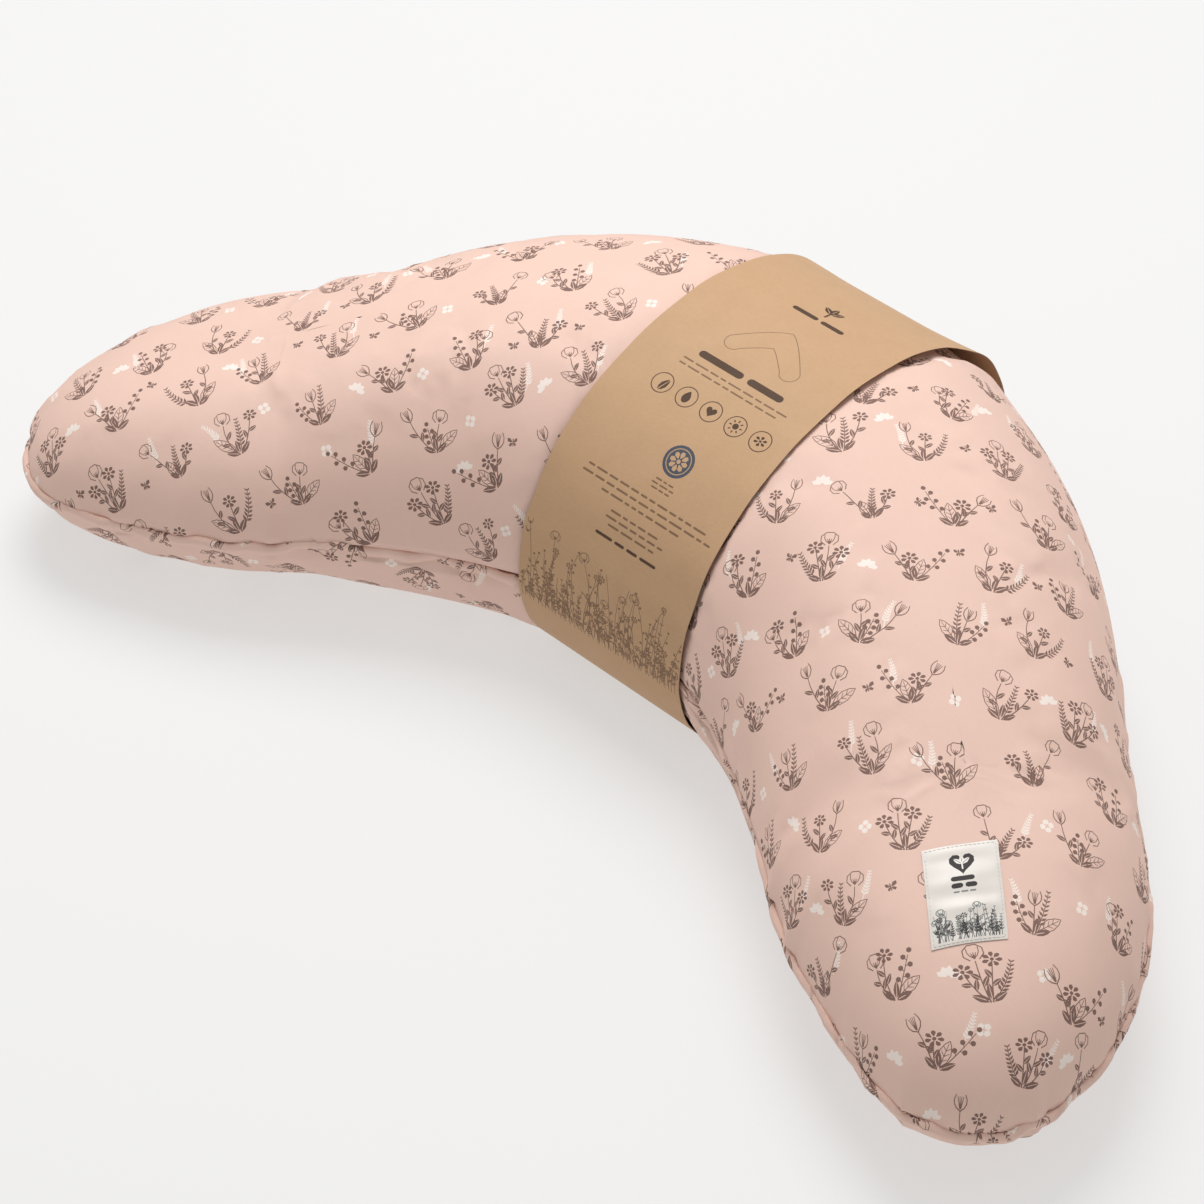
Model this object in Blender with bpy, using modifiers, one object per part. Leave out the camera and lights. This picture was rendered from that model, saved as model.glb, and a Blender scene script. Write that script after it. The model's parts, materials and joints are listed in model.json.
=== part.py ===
"""Boomerang nursing pillow: a zipped cotton cover over a kapok cushion, with a paper belly band.

Frame: +Z up, +X along the longest extent, the two arms open towards -Y, the pillow lies on z = 0.
"""

import bpy
import bmesh
import numpy as np
from math import cos, pi, radians, sin
from mathutils import Matrix, Vector
from mathutils.bvhtree import BVHTree

for old in list(bpy.data.objects):
    bpy.data.objects.remove(old, do_unlink=True)

# ---- driving dimensions, metres and degrees ----
ARM_ANGLE = 49.5          # each arm to the plane of symmetry
BEND_RUN = 0.270          # length of centre line over which the elbow turns
HALF_RUN = 0.337          # centre line from the elbow's middle to the centre of the rounded tip
HALF_WIDTH = (0.1565, 0.1565, 0.1145, 0.1126)   # Bezier control values from the elbow to the tip
TIP_REACH = 0.1795        # from the centre of the rounded tip to its end
TIP_POWER = 1.80          # superellipse power of the tip in plan
TOP_HEIGHT = (0.143, 0.143, 0.129, 0.088)       # crown above the seam
BASE_DEPTH = (0.107, 0.107, 0.118, 0.075)       # belly below the seam before the floor flattens it
SEAM_HEIGHT = 0.078
TIP_DIP = 0.018           # the seam drops this much round the tips
TIP_SLOPE = 0.36          # the crown's fall at the end of the arm, carried on over the tip
LEFT_SLUMP = 0.17         # the left arm is filled less: its crown is this share lower at its end
SLUMP_FROM = 0.14         # and starts to fall this far from the middle
SLUMP_TO = 0.42
TIP_PULLS = ((-0.378, -0.2986, 0.055, 0.000, -0.0125),   # the seam's corners stand out at the
             (0.388, -0.2946, 0.065, 0.0003, -0.0155))    # tips: x, y, reach, and how far
PLAN_POWER = 2.05         # fullness of the cross-section
TOP_POWER = 0.49
BASE_POWER = 0.50
CENTRE_Y = 0.07683        # brings the middle of the box onto y = 0

FABRIC = 0.0006           # cover cloth
SEAM_GAP = 0.0006         # half the gap that the seam's thread fills
THREAD_RADIUS = 0.00025
RIM_BULGE = 0.0016        # the seam allowance turned down makes the lower edge stand out
RIM_DEPTH = 0.0080

ZIP_CENTRE = (0.0554, -0.2693)   # the zip follows a circle about this point (before CENTRE_Y)
ZIP_RADIUS = 0.4382
ZIP_OPEN_END = 110.6      # degrees round that circle, by the elbow
ZIP_SHUT_END = 142.6      # by the arm's tip
ZIP_GAP = 0.0030          # half the opening between the two panels' folded edges
TAPE_LAP = 0.012          # tape beyond the coil at each end

CASE_INSET = 0.0060       # inner cushion inside the cover at the seam
CASE_DROP = 0.0020        # and at the crown
CASE_CLOTH = 0.0005
FILL_INSET = 0.0078
FILL_DROP = 0.0040

SLEEVE_HALF = 0.0700      # half the paper band's width, along X
SLEEVE_SLACK = 0.0010     # round the sides and the top
UNDER_SLACK = 0.0003      # under the cushion
PAPER = 0.0004
SLEEVE_LAP = 0.025
LAP_STEP = 0.0008         # one paper, the glue line and its clearance
RECESS = 0.0015           # the band presses the cushion's underside up by this much
GLUE_THICK = 0.0003

ARM_STEPS = 14            # cuts along each side of an arm
TIP_STEPS = 12            # and round its tip
STATIONS = 4 * ARM_STEPS + 2 * TIP_STEPS
TOP_RINGS = (0, 4, 8, 14, 24, 38, 54, 72, 90)
BASE_RINGS = (0, 1.3, 2.7, 4.3, 8, 15, 27)
INNER_TOP_RINGS = (0, 8, 24, 54, 90)
INNER_BASE_RINGS = (0, 8, 27)


# ---- the plan of the pillow ----
def smooth(a, b, value):
    step = np.clip((value - a) / (b - a), 0, 1)
    return step * step * (3 - 2 * step)


def bezier(share, values):
    a, b, c, d = values
    rest = 1 - share
    return a * rest ** 3 + 3 * b * share * rest ** 2 + 3 * c * share ** 2 * rest + d * share ** 3


def centre_line():
    """Points, headings and shares of the right-hand half of the centre line."""
    run = np.linspace(0, HALF_RUN, 400)
    turn = radians(90 - ARM_ANGLE) * np.sin(pi / 2 * np.minimum(run / BEND_RUN, 1))
    step = np.diff(run)
    east = np.concatenate([[0], np.cumsum((np.cos(turn[1:]) + np.cos(turn[:-1])) / 2 * step)])
    south = np.concatenate([[0], np.cumsum((np.sin(turn[1:]) + np.sin(turn[:-1])) / 2 * step)])
    return east, -south, turn, run / HALF_RUN


def half_outline():
    """The right-hand half of the seam line from the outer elbow round the tip to the inner elbow.

    Columns: edge x, y; foot x, y on the centre line; share along the arm; how far round the tip.
    """
    x, y, turn, share = centre_line()
    width = bezier(share, HALF_WIDTH)
    nx, ny = np.sin(turn), np.cos(turn)
    outer = np.stack([x + nx * width, y + ny * width, x, y, share, 0 * share], 1)
    inner = np.stack([x - nx * width, y - ny * width, x, y, share, 0 * share], 1)
    swing = np.linspace(0, pi, 202)[1:-1]
    across = np.abs(np.cos(swing)) ** (2 / TIP_POWER) * np.sign(np.cos(swing)) * width[-1]
    along = np.sin(swing) ** (2 / TIP_POWER) * TIP_REACH
    tx, ty = np.cos(turn[-1]), -np.sin(turn[-1])
    one = np.ones_like(swing)
    tip = np.stack([x[-1] + tx * along + nx[-1] * across, y[-1] + ty * along + ny[-1] * across,
                    x[-1] * one, y[-1] * one, one, np.sin(swing)], 1)
    return np.concatenate([outer, tip, inner[::-1]])


def whole_outline():
    """Rows round the seam, from the outer elbow by the right tip and back.

    The outer and inner sides of an arm are cut at the same places of its centre line, so that the
    skins meet there. Two more columns: position along the left outer seam, and the zip's opening.
    """
    half = half_outline()
    length = np.concatenate([[0], np.cumsum(np.hypot(*np.diff(half[:, :2], axis=0).T))])
    run = np.linspace(0, 399, ARM_STEPS + 1)
    round_tip = 399 + np.linspace(0, 201, TIP_STEPS + 1)
    inner = 600 + run
    index = np.concatenate([run, round_tip[1:-1], inner])
    places = np.arange(len(half))
    right = np.stack([np.interp(index, places, column) for column in half.T], 1)
    spots = np.interp(index, places, length)
    left = right[-2:0:-1] * np.array([-1, 1, -1, 1, 1, 1])
    rows = np.concatenate([right, left])
    place = np.concatenate([np.full(len(right), -1.0), spots[-2:0:-1]])
    place[0] = 0
    pull = smooth(0.050, 0.085, place) * (1 - smooth(0.365, 0.410, place))
    pull[0] = 0
    arm = rows[:, :2] - np.array(ZIP_CENTRE)
    on_circle = np.array(ZIP_CENTRE) + arm * (ZIP_RADIUS / np.hypot(*arm.T))[:, None]
    rows[:, :2] += (on_circle - rows[:, :2]) * pull[:, None]
    for x, y, reach, east, north in TIP_PULLS:
        near = np.exp(-((rows[:, 0] - x) ** 2 + (rows[:, 1] - y) ** 2) / reach ** 2)
        rows[:, :2] += near[:, None] * np.array((east, north))
    opening = smooth(0.064, 0.086, place) * (1 - smooth(0.364, 0.385, place))
    opening[0] = 0
    return np.column_stack([rows, place, opening])


ROWS = whole_outline()


def tip_drop(row):
    return TIP_DIP * (0.3 * smooth(0.92, 1.0, row[4]) + 0.7 * row[5])


def inward(row, inset):
    """Seam point moved in towards the centre line."""
    edge = Vector((row[0], row[1]))
    foot = Vector((row[2], row[3]))
    return edge + (foot - edge).normalized() * inset, foot


def floor_height(x):
    """Height of the cushion's underside: raised a little where the paper band passes below it."""
    return RECESS * (1 - smooth(SLEEVE_HALF + 0.030, SLEEVE_HALF + 0.070, abs(x)))


def top_point(row, ring, inset, drop, gap):
    edge, foot = inward(row, inset)
    reach = cos(radians(ring)) if ring < 90 else 0.0
    spot = foot + (edge - foot) * reach
    rise = (1 - reach ** PLAN_POWER) ** TOP_POWER
    slump = 1 - LEFT_SLUMP * smooth(SLUMP_FROM, SLUMP_TO, -spot.x)
    height = (bezier(row[4], TOP_HEIGHT) - drop) * rise * slump
    dip = tip_drop(row) * reach ** 2
    run_on = TIP_SLOPE * row[5] * TIP_REACH * reach * (1 - reach) ** 2
    z = SEAM_HEIGHT + gap + height - dip - run_on
    return Vector((spot.x, spot.y + CENTRE_Y, z))


def base_rings(row, inset, floor, rings, gap, shrink=0.0):
    """Points from the seam down to the floor and in to the centre line."""
    edge, foot = inward(row, inset)
    depth = bezier(row[4], BASE_DEPTH) - shrink
    seam = SEAM_HEIGHT - tip_drop(row) - gap
    level = floor + floor_height(edge.x * 0.4 + foot.x * 0.6)
    share = min((seam - level) / depth, 0.995)
    touch = (1 - share ** (1 / BASE_POWER)) ** (1 / PLAN_POWER)
    points = []
    reaches = [cos(radians(ring)) for ring in rings]
    reaches.append(0.5 * (reaches[-1] + touch))
    for reach in reaches:
        spot = foot + (edge - foot) * reach
        z = seam - depth * (1 - reach ** PLAN_POWER) ** BASE_POWER
        points.append(Vector((spot.x, spot.y + CENTRE_Y, z)))
    for reach in (touch, 0.0):
        spot = foot + (edge - foot) * reach
        level = floor + floor_height(spot.x)
        points.append(Vector((spot.x, spot.y + CENTRE_Y, level)))
    return points


# ---- building helpers ----
scene = bpy.context.scene
pillow = bpy.data.collections.new("nursing_pillow")
cutters = bpy.data.collections.new("cutters")
scene.collection.children.link(pillow)
scene.collection.children.link(cutters)
cutters.hide_render = True


def material(name, colour, roughness, metallic=0.0, sheen=0.0):
    made = bpy.data.materials.new(name)
    made.use_nodes = True
    shader = made.node_tree.nodes["Principled BSDF"]
    shader.inputs["Base Color"].default_value = (*colour, 1)
    shader.inputs["Roughness"].default_value = roughness
    shader.inputs["Metallic"].default_value = metallic
    shader.inputs["Sheen Weight"].default_value = sheen
    return made


BLUSH = material("blush_cotton", (0.74, 0.52, 0.44), 0.75, sheen=0.2)
THREAD = material("blush_thread", (0.68, 0.45, 0.38), 0.6)
CALICO = material("inner_calico", (0.86, 0.83, 0.76), 0.85)
KAPOK = material("kapok", (0.88, 0.84, 0.72), 0.95)
TAPE = material("zip_tape", (0.70, 0.48, 0.41), 0.7)
NYLON = material("zip_nylon", (0.66, 0.44, 0.38), 0.4)
METAL = material("zip_metal", (0.62, 0.61, 0.60), 0.35, metallic=0.9)
SATIN = material("label_satin", (0.88, 0.88, 0.88), 0.45)
KRAFT = material("kraft_paper", (0.55, 0.40, 0.26), 0.8)
GLUE = material("glue", (0.80, 0.76, 0.62), 0.5)


def finish(name, mesh_builder, look, place=(0, 0, 0), collection=None):
    """Makes one object from a bmesh and leaves its normals facing out."""
    bmesh.ops.recalc_face_normals(mesh_builder, faces=mesh_builder.faces)
    data = bpy.data.meshes.new(name)
    mesh_builder.to_mesh(data)
    mesh_builder.free()
    made = bpy.data.objects.new(name, data)
    made.location = place
    data.materials.append(look)
    (collection or pillow).objects.link(made)
    if collection is cutters:
        made.display_type = "WIRE"
        made.hide_render = True
    return made


def loft(rings_by_station, close_round=True):
    """Quads through rings of points, merged where the rings meet on the centre line."""
    mesh_builder = bmesh.new()
    grid = [[mesh_builder.verts.new(p) for p in ring] for ring in rings_by_station]
    count = len(grid)
    for i in range(count if close_round else count - 1):
        here = grid[i]
        ahead = grid[(i + 1) % count]
        for k in range(len(here) - 1):
            mesh_builder.faces.new((here[k], ahead[k], ahead[k + 1], here[k + 1]))
    bmesh.ops.remove_doubles(mesh_builder, verts=mesh_builder.verts, dist=1e-6)
    bmesh.ops.dissolve_degenerate(mesh_builder, edges=mesh_builder.edges, dist=1e-6)
    return mesh_builder


def cloth_shell(obj, thickness):
    """Cloth thickness on the inside of a skin whose normals face out."""
    shell = obj.modifiers.new("cloth", "SOLIDIFY")
    shell.thickness = thickness
    shell.offset = -1
    shell.use_even_offset = False
    return obj


def face_up(obj, up):
    """Turns an open skin so that its normals face up (or down)."""
    mesh_builder = bmesh.new()
    mesh_builder.from_mesh(obj.data)
    lean = sum(f.normal.z * f.calc_area() for f in mesh_builder.faces)
    if (lean > 0) != up:
        bmesh.ops.reverse_faces(mesh_builder, faces=mesh_builder.faces)
    mesh_builder.to_mesh(obj.data)
    mesh_builder.free()


def tube(name, points, radius, look, closed=False, sides=6):
    """A thread: a bevelled polyline with filled ends."""
    data = bpy.data.curves.new(name, "CURVE")
    data.dimensions = "3D"
    data.bevel_depth = radius
    data.bevel_resolution = max((sides - 4) // 2, 0)
    data.use_fill_caps = not closed
    line = data.splines.new("POLY")
    line.points.add(len(points) - 1)
    for slot, p in zip(line.points, points):
        slot.co = (*p, 1)
    line.use_cyclic_u = closed
    made = bpy.data.objects.new(name, data)
    data.materials.append(look)
    pillow.objects.link(made)
    return made


# ---- the cover ----
def top_skin(name, inset, drop, rings, gap_of, look, cloth):
    rows = [[top_point(row, ring, inset, drop, gap_of(row)) for ring in rings] for row in ROWS]
    made = finish(name, loft(rows), look)
    face_up(made, True)
    return cloth_shell(made, cloth)


def base_skin(name, inset, floor, rings, gap_of, look, cloth, bulge=0.0, shrink=0.0):
    lofted = []
    for row in ROWS:
        points = base_rings(row, inset, floor, rings, gap_of(row), shrink)
        edge = Vector((row[0] - row[2], row[1] - row[3], 0)).normalized()
        seam = points[0].z
        for p in points:
            depth = (seam - p.z) / RIM_DEPTH
            swell = sin(pi * min(depth ** 0.8, 1.0)) if depth > 0 else 0.0
            p += edge * (bulge * swell * (1 - row[7]))
        lofted.append(points)
    made = finish(name, loft(lofted), look)
    face_up(made, False)
    return cloth_shell(made, cloth)


def cover_gap(row):
    return SEAM_GAP + (ZIP_GAP - SEAM_GAP) * row[7]


def case_gap(row):
    return SEAM_GAP


top_skin("cover_top_panel", 0.0, 0.0, TOP_RINGS, cover_gap, BLUSH, FABRIC)
base_skin("cover_bottom_panel", 0.0, 0.0, BASE_RINGS, cover_gap, BLUSH, FABRIC, RIM_BULGE)
top_skin("inner_case_top", CASE_INSET, CASE_DROP, INNER_TOP_RINGS, case_gap, CALICO, CASE_CLOTH)
base_skin("inner_case_bottom", CASE_INSET, 0.0016, INNER_BASE_RINGS, case_gap, CALICO, CASE_CLOTH,
          shrink=0.0025)


def seam_point(row, inset, dz=0.0):
    edge, foot = inward(row, inset)
    return Vector((edge.x, edge.y + CENTRE_Y, SEAM_HEIGHT - tip_drop(row) + dz))


sewn = [row for row in ROWS if row[7] == 0]
start = next(i for i, row in enumerate(ROWS) if row[7] > 0)
last = max(i for i, row in enumerate(ROWS) if row[7] > 0)
order = list(range(last + 1, STATIONS)) + list(range(0, start))
tube("cover_seam_thread", [seam_point(ROWS[i], 0.0003) for i in order], THREAD_RADIUS, THREAD)
tube("inner_case_seam_thread", [seam_point(row, CASE_INSET + 0.00025) for row in ROWS],
     THREAD_RADIUS, CALICO, closed=True)

fill_rows = []
for row in ROWS:
    upper = [top_point(row, ring, FILL_INSET, FILL_DROP, 0.0) for ring in INNER_TOP_RINGS]
    lower = base_rings(row, FILL_INSET, 0.0032, INNER_BASE_RINGS, 0.0, 0.0050)
    fill_rows.append(upper[::-1] + lower[1:])
finish("kapok_fill", loft(fill_rows), KAPOK)


# ---- the zip, built about the centre of its circle ----
HUB = Vector((ZIP_CENTRE[0], ZIP_CENTRE[1] + CENTRE_Y, SEAM_HEIGHT))


def spin(name, section, start_deg, end_deg, steps, look):
    """Sweeps a closed section of (radius offset, height) round the zip's circle."""
    mesh_builder = bmesh.new()
    corners = [mesh_builder.verts.new((ZIP_RADIUS + r, 0, z)) for r, z in section]
    first = mesh_builder.faces.new(corners)
    bmesh.ops.rotate(mesh_builder, verts=mesh_builder.verts, cent=(0, 0, 0),
                     matrix=Matrix.Rotation(radians(start_deg), 3, "Z"))
    bmesh.ops.spin(mesh_builder, geom=[first] + list(first.edges) + corners, cent=(0, 0, 0),
                   axis=(0, 0, 1), angle=radians(end_deg - start_deg), steps=steps)
    return finish(name, mesh_builder, look, HUB)


def disc(r, z, radius, sides):
    return [(r + radius * cos(2 * pi * k / sides), z + radius * sin(2 * pi * k / sides))
            for k in range(sides)]


LAP_DEG = TAPE_LAP / ZIP_RADIUS * 180 / pi
for side, word in ((1, "upper"), (-1, "lower")):
    spin(f"zip_tape_{word}", [(-0.0022, side * 0.0007), (-0.0022, side * 0.0110),
                              (-0.0026, side * 0.0110), (-0.0026, side * 0.0007)],
         ZIP_OPEN_END - LAP_DEG, ZIP_SHUT_END + LAP_DEG, 32, TAPE)
    spin(f"zip_coil_{word}", disc(-0.0011, side * 0.0015, 0.0008, 6),
         ZIP_OPEN_END, ZIP_SHUT_END, 44, NYLON)
    spin(f"zip_stitch_{word}", disc(-0.0017, side * 0.0070, 0.0002, 4),
         ZIP_OPEN_END - 0.5 * LAP_DEG, ZIP_SHUT_END + 0.5 * LAP_DEG, 32, THREAD)

STOP_SECTION = [(-0.0003, -0.0022), (-0.0003, 0.0022), (-0.0019, 0.0022), (-0.0019, -0.0022)]
spin("zip_stop_open_end", STOP_SECTION, ZIP_OPEN_END - 0.42, ZIP_OPEN_END - 0.06, 1, METAL)
spin("zip_stop_shut_end", STOP_SECTION, ZIP_SHUT_END + 0.06, ZIP_SHUT_END + 0.42, 1, METAL)


def plate(name, size, centre, look, bevel=0.0, collection=None):
    """A box of the given size: X along the zip, Y out from the pillow, Z up."""
    mesh_builder = bmesh.new()
    bmesh.ops.create_cube(mesh_builder, size=1)
    bmesh.ops.scale(mesh_builder, vec=size, verts=mesh_builder.verts)
    bmesh.ops.translate(mesh_builder, vec=centre, verts=mesh_builder.verts)
    if bevel:
        upright = [e for e in mesh_builder.edges
                   if abs((e.verts[0].co - e.verts[1].co).normalized().y) > 0.9]
        bmesh.ops.bevel(mesh_builder, geom=upright, offset=bevel, segments=3, profile=0.5,
                        affect="EDGES")
    return finish(name, mesh_builder, look, collection=collection)


def rod(name, radius, length, centre, look, sides=16, collection=None):
    """A round bar along Z."""
    mesh_builder = bmesh.new()
    bmesh.ops.create_cone(mesh_builder, cap_ends=True, segments=sides, radius1=radius,
                          radius2=radius, depth=length)
    bmesh.ops.translate(mesh_builder, vec=centre, verts=mesh_builder.verts)
    return finish(name, mesh_builder, look, collection=collection)


def combine(target, other, operation):
    cut = target.modifiers.new(other.name, "BOOLEAN")
    cut.operation = operation
    cut.solver = "EXACT"
    cut.object = other


# Slider: two plates joined by a thin divider that runs between the coils, with lugs and a pin.
PIN_OUT = 0.0027
slider = plate("zip_slider", (0.0105, 0.0008, 0.0084), (0, 0.0009, 0), METAL, 0.0024)
pieces = [
    plate("slider_inner", (0.0095, 0.0008, 0.0084), (0, -0.0035, 0), METAL, 0.0020, cutters),
    plate("slider_divider", (0.0050, 0.0044, 0.0005), (0, -0.0013, 0), METAL, 0, cutters),
    plate("slider_lug_high", (0.0022, 0.0026, 0.0008), (0, 0.0023, 0.0027), METAL, 0, cutters),
    plate("slider_lug_low", (0.0022, 0.0026, 0.0008), (0, 0.0023, -0.0027), METAL, 0, cutters),
    rod("slider_pin", 0.00045, 0.0056, (0, PIN_OUT, 0), METAL, 12, cutters),
]
for piece in pieces:
    combine(slider, piece, "UNION")

tab = plate("zip_pull_tab", (0.0180, 0.0009, 0.0052), (0.0125, 0, 0), METAL, 0.0016)
combine(tab, plate("tab_neck", (0.0060, 0.0009, 0.0034), (0.0030, 0, 0), METAL, 0, cutters), "UNION")
combine(tab, rod("tab_eye", 0.00095, 0.0034, (0, 0, 0), METAL, 16, cutters), "UNION")
combine(tab, rod("tab_bore", 0.00056, 0.0080, (0, 0, 0), METAL, 16, cutters), "DIFFERENCE")
tab_hole = plate("tab_window", (0.0060, 0.0030, 0.0022), (0.0165, 0, 0), METAL, 0.0009, cutters)
combine(tab, tab_hole, "DIFFERENCE")

# The slider stands at the shut end: its local X runs on towards the arm's tip.
SLIDER_DEG = ZIP_SHUT_END - 0.36
slider_turn = radians(SLIDER_DEG - 90)
bpy.context.view_layer.update()


def bake(obj, matrix):
    """Applies the modifiers, then sets the piece in its place with its origin kept on its axis."""
    graph = bpy.context.evaluated_depsgraph_get()
    solid = bpy.data.meshes.new_from_object(obj.evaluated_get(graph))
    obj.modifiers.clear()
    obj.data = solid
    obj.matrix_world = matrix
    return obj


AT_SLIDER = (Matrix.Translation(HUB) @ Matrix.Rotation(slider_turn, 4, "Z")
             @ Matrix.Translation((0, ZIP_RADIUS, 0)))
TIPWARD = Matrix.Rotation(pi, 4, "Z")
bake(slider, AT_SLIDER)
slider.data.transform(Matrix.Translation((0, ZIP_RADIUS, 0)))
slider.matrix_world = Matrix.Translation(HUB) @ Matrix.Rotation(slider_turn, 4, "Z")
bake(tab, AT_SLIDER @ Matrix.Translation((0, PIN_OUT, 0)) @ TIPWARD)
for piece in list(cutters.objects):
    piece.matrix_world = AT_SLIDER @ piece.matrix_world


# ---- the satin label, sewn on near the right arm's tip ----
graph = bpy.context.evaluated_depsgraph_get()
crown = BVHTree.FromObject(bpy.data.objects["cover_top_panel"], graph)


def on_top(x, y, lift):
    hit = crown.ray_cast(Vector((x, y, 1)), Vector((0, 0, -1)))
    return hit[0] + hit[1].normalized() * lift if hit[1].z > 0 else hit[0] - hit[1].normalized() * lift


LABEL_CORNERS = ((0.3013, -0.1370), (0.3285, -0.1020), (0.3715, -0.1443), (0.3440, -0.1783))


def label_spot(a, b):
    tl, tr, br, bl = (Vector(c) for c in LABEL_CORNERS)
    return (tl * (1 - a) + tr * a) * (1 - b) + (bl * (1 - a) + br * a) * b


def label_grid(a0, a1, b0, b1, across, down, lift):
    grid = []
    for j in range(down + 1):
        line = []
        for i in range(across + 1):
            spot = label_spot(a0 + (a1 - a0) * i / across, b0 + (b1 - b0) * j / down)
            line.append(on_top(spot.x, spot.y, lift))
        grid.append(line)
    return grid


label = finish("woven_label", loft(label_grid(0, 1, 0, 1, 8, 10, 0.0011), close_round=False), SATIN)
face_up(label, True)
cloth_shell(label, 0.0003)

edge_line = []
for a0, b0, a1, b1, parts in ((0.03, 0.03, 0.97, 0.03, 8), (0.97, 0.03, 0.97, 0.97, 10),
                              (0.97, 0.97, 0.03, 0.97, 8), (0.03, 0.97, 0.03, 0.03, 10)):
    for k in range(parts):
        spot = label_spot(a0 + (a1 - a0) * k / parts, b0 + (b1 - b0) * k / parts)
        edge_line.append(on_top(spot.x, spot.y, 0.0017))
tube("label_stitches", edge_line, 0.00015, SATIN, closed=True, sides=4)


# ---- care label, loose between the cover and the inner cushion on the left arm's inner side ----
def between(place, ring):
    """A point midway between the cover and the inner case, below the seam."""
    k = int(place)
    near, far = ROWS[k % STATIONS], ROWS[(k + 1) % STATIONS]
    row = near + (far - near) * (place - k)
    depth = bezier(row[4], BASE_DEPTH)
    edge, foot = inward(row, 0.0032)
    reach = cos(radians(ring))
    spot = foot + (edge - foot) * reach
    z = SEAM_HEIGHT - tip_drop(row) - depth * (1 - reach ** PLAN_POWER) ** BASE_POWER
    return Vector((spot.x, spot.y + CENTRE_Y, z))


CARE_PLACE = (47.2, 48.4)
CARE_RINGS = (2.0, 4.3, 8.0, 15.0)
care_rows = [[between(CARE_PLACE[0] + (CARE_PLACE[1] - CARE_PLACE[0]) * i / 4, ring)
              for ring in CARE_RINGS] for i in range(5)]
care = finish("care_label", loft(care_rows, close_round=False), SATIN)
face_up(care, False)
cloth_shell(care, 0.0003)


# ---- the paper band ----
def hull(points):
    """Convex outline of points in the YZ plane, anticlockwise."""
    points = sorted(set(points))

    def half(sequence):
        chain = []
        for p in sequence:
            while len(chain) > 1:
                (ay, az), (by, bz) = chain[-2], chain[-1]
                if (by - ay) * (p[1] - az) - (bz - az) * (p[0] - ay) > 0:
                    break
                chain.pop()
            chain.append(p)
        return chain[:-1]

    return half(points) + half(points[::-1])


def reached(p, q):
    """The stretch of an edge that lies under the band."""
    out = []
    for spot in (p, q):
        if abs(spot.x) <= SLEEVE_HALF:
            out.append(spot)
    for x in (-SLEEVE_HALF, SLEEVE_HALF):
        if (p.x - x) * (q.x - x) < 0:
            out.append(p + (q - p) * ((x - p.x) / (q.x - p.x)))
    return out


spots = set()
for name in ("cover_top_panel", "cover_bottom_panel"):
    skin = bpy.data.objects[name].evaluated_get(graph).data
    for edge in skin.edges:
        for spot in reached(*(skin.vertices[i].co for i in edge.vertices)):
            spots.add((round(spot.y, 5), round(max(spot.z, RECESS), 5)))
ring = [Vector(p) for p in hull(list(spots))]


def spaced(ring, least):
    """The same outline without corners that stand closer together than the least distance."""
    kept = [ring[0]]
    for p in ring[1:]:
        if (p - kept[-1]).length > least:
            kept.append(p)
    return kept


ring = spaced(ring, 0.0018)
under = [p for p in ring if p.y < RECESS + 1e-5]
middle_y = (min(p.x for p in under) + max(p.x for p in under)) / 2
# Clockwise from the underside's middle: towards -Y, up, over the crown and down the outer elbow.
first = max(i for i, p in enumerate(ring) if p.y < RECESS + 1e-5 and p.x < middle_y)
walk = ring[first::-1] + ring[:first:-1]
corners = [Vector((middle_y, RECESS))] + walk
corners += [Vector((middle_y + 0.012, RECESS)), Vector((middle_y, RECESS))]
corners += [Vector((middle_y - SLEEVE_LAP, RECESS))]
line = []
for k, p in enumerate(corners):
    back = (p - corners[max(k - 1, 0)]).normalized() if k else Vector((-1, 0))
    ahead = (corners[k + 1] - p).normalized() if k < len(corners) - 1 else back
    lean = (Vector((-back.y, back.x)) + Vector((-ahead.y, ahead.x))).normalized()
    spread = max(lean.dot(Vector((-ahead.y, ahead.x))), 0.5)
    floor_run = k == 0 or p.y < RECESS + 1e-5
    away = UNDER_SLACK if floor_run else SLEEVE_SLACK
    if k >= len(corners) - 3:
        away = UNDER_SLACK + LAP_STEP
    line.append(p + lean * away / spread)
paper_rows = [[Vector((x, p.x, p.y)) for x in (-SLEEVE_HALF, SLEEVE_HALF)] for p in line]
sleeve = finish("paper_sleeve", loft(paper_rows, close_round=False), KRAFT)
crest = max(sleeve.data.polygons, key=lambda f: f.center.z)
if crest.normal.z < 0:
    sleeve.data.flip_normals()
paper = sleeve.modifiers.new("paper", "SOLIDIFY")
paper.thickness = PAPER
paper.offset = 1
paper.use_even_offset = True

glue_z = RECESS - UNDER_SLACK - LAP_STEP + 0.5 * (LAP_STEP - PAPER)
mesh_builder = bmesh.new()
bmesh.ops.create_cube(mesh_builder, size=1)
bmesh.ops.scale(mesh_builder, vec=(2 * SLEEVE_HALF - 0.012, SLEEVE_LAP - 0.009, GLUE_THICK),
                verts=mesh_builder.verts)
finish("sleeve_glue_strip", mesh_builder, GLUE, (0, middle_y - 0.5 * SLEEVE_LAP, glue_z))
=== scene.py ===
"""Looks for the boomerang nursing pillow: cloth, print, seam, label, zip and paper band."""

import json
from math import cos, pi, radians, sin

import bmesh
import bpy
import numpy as np
from mathutils import Matrix, Vector
from mathutils.bvhtree import BVHTree
from mathutils.geometry import delaunay_2d_cdt

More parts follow.
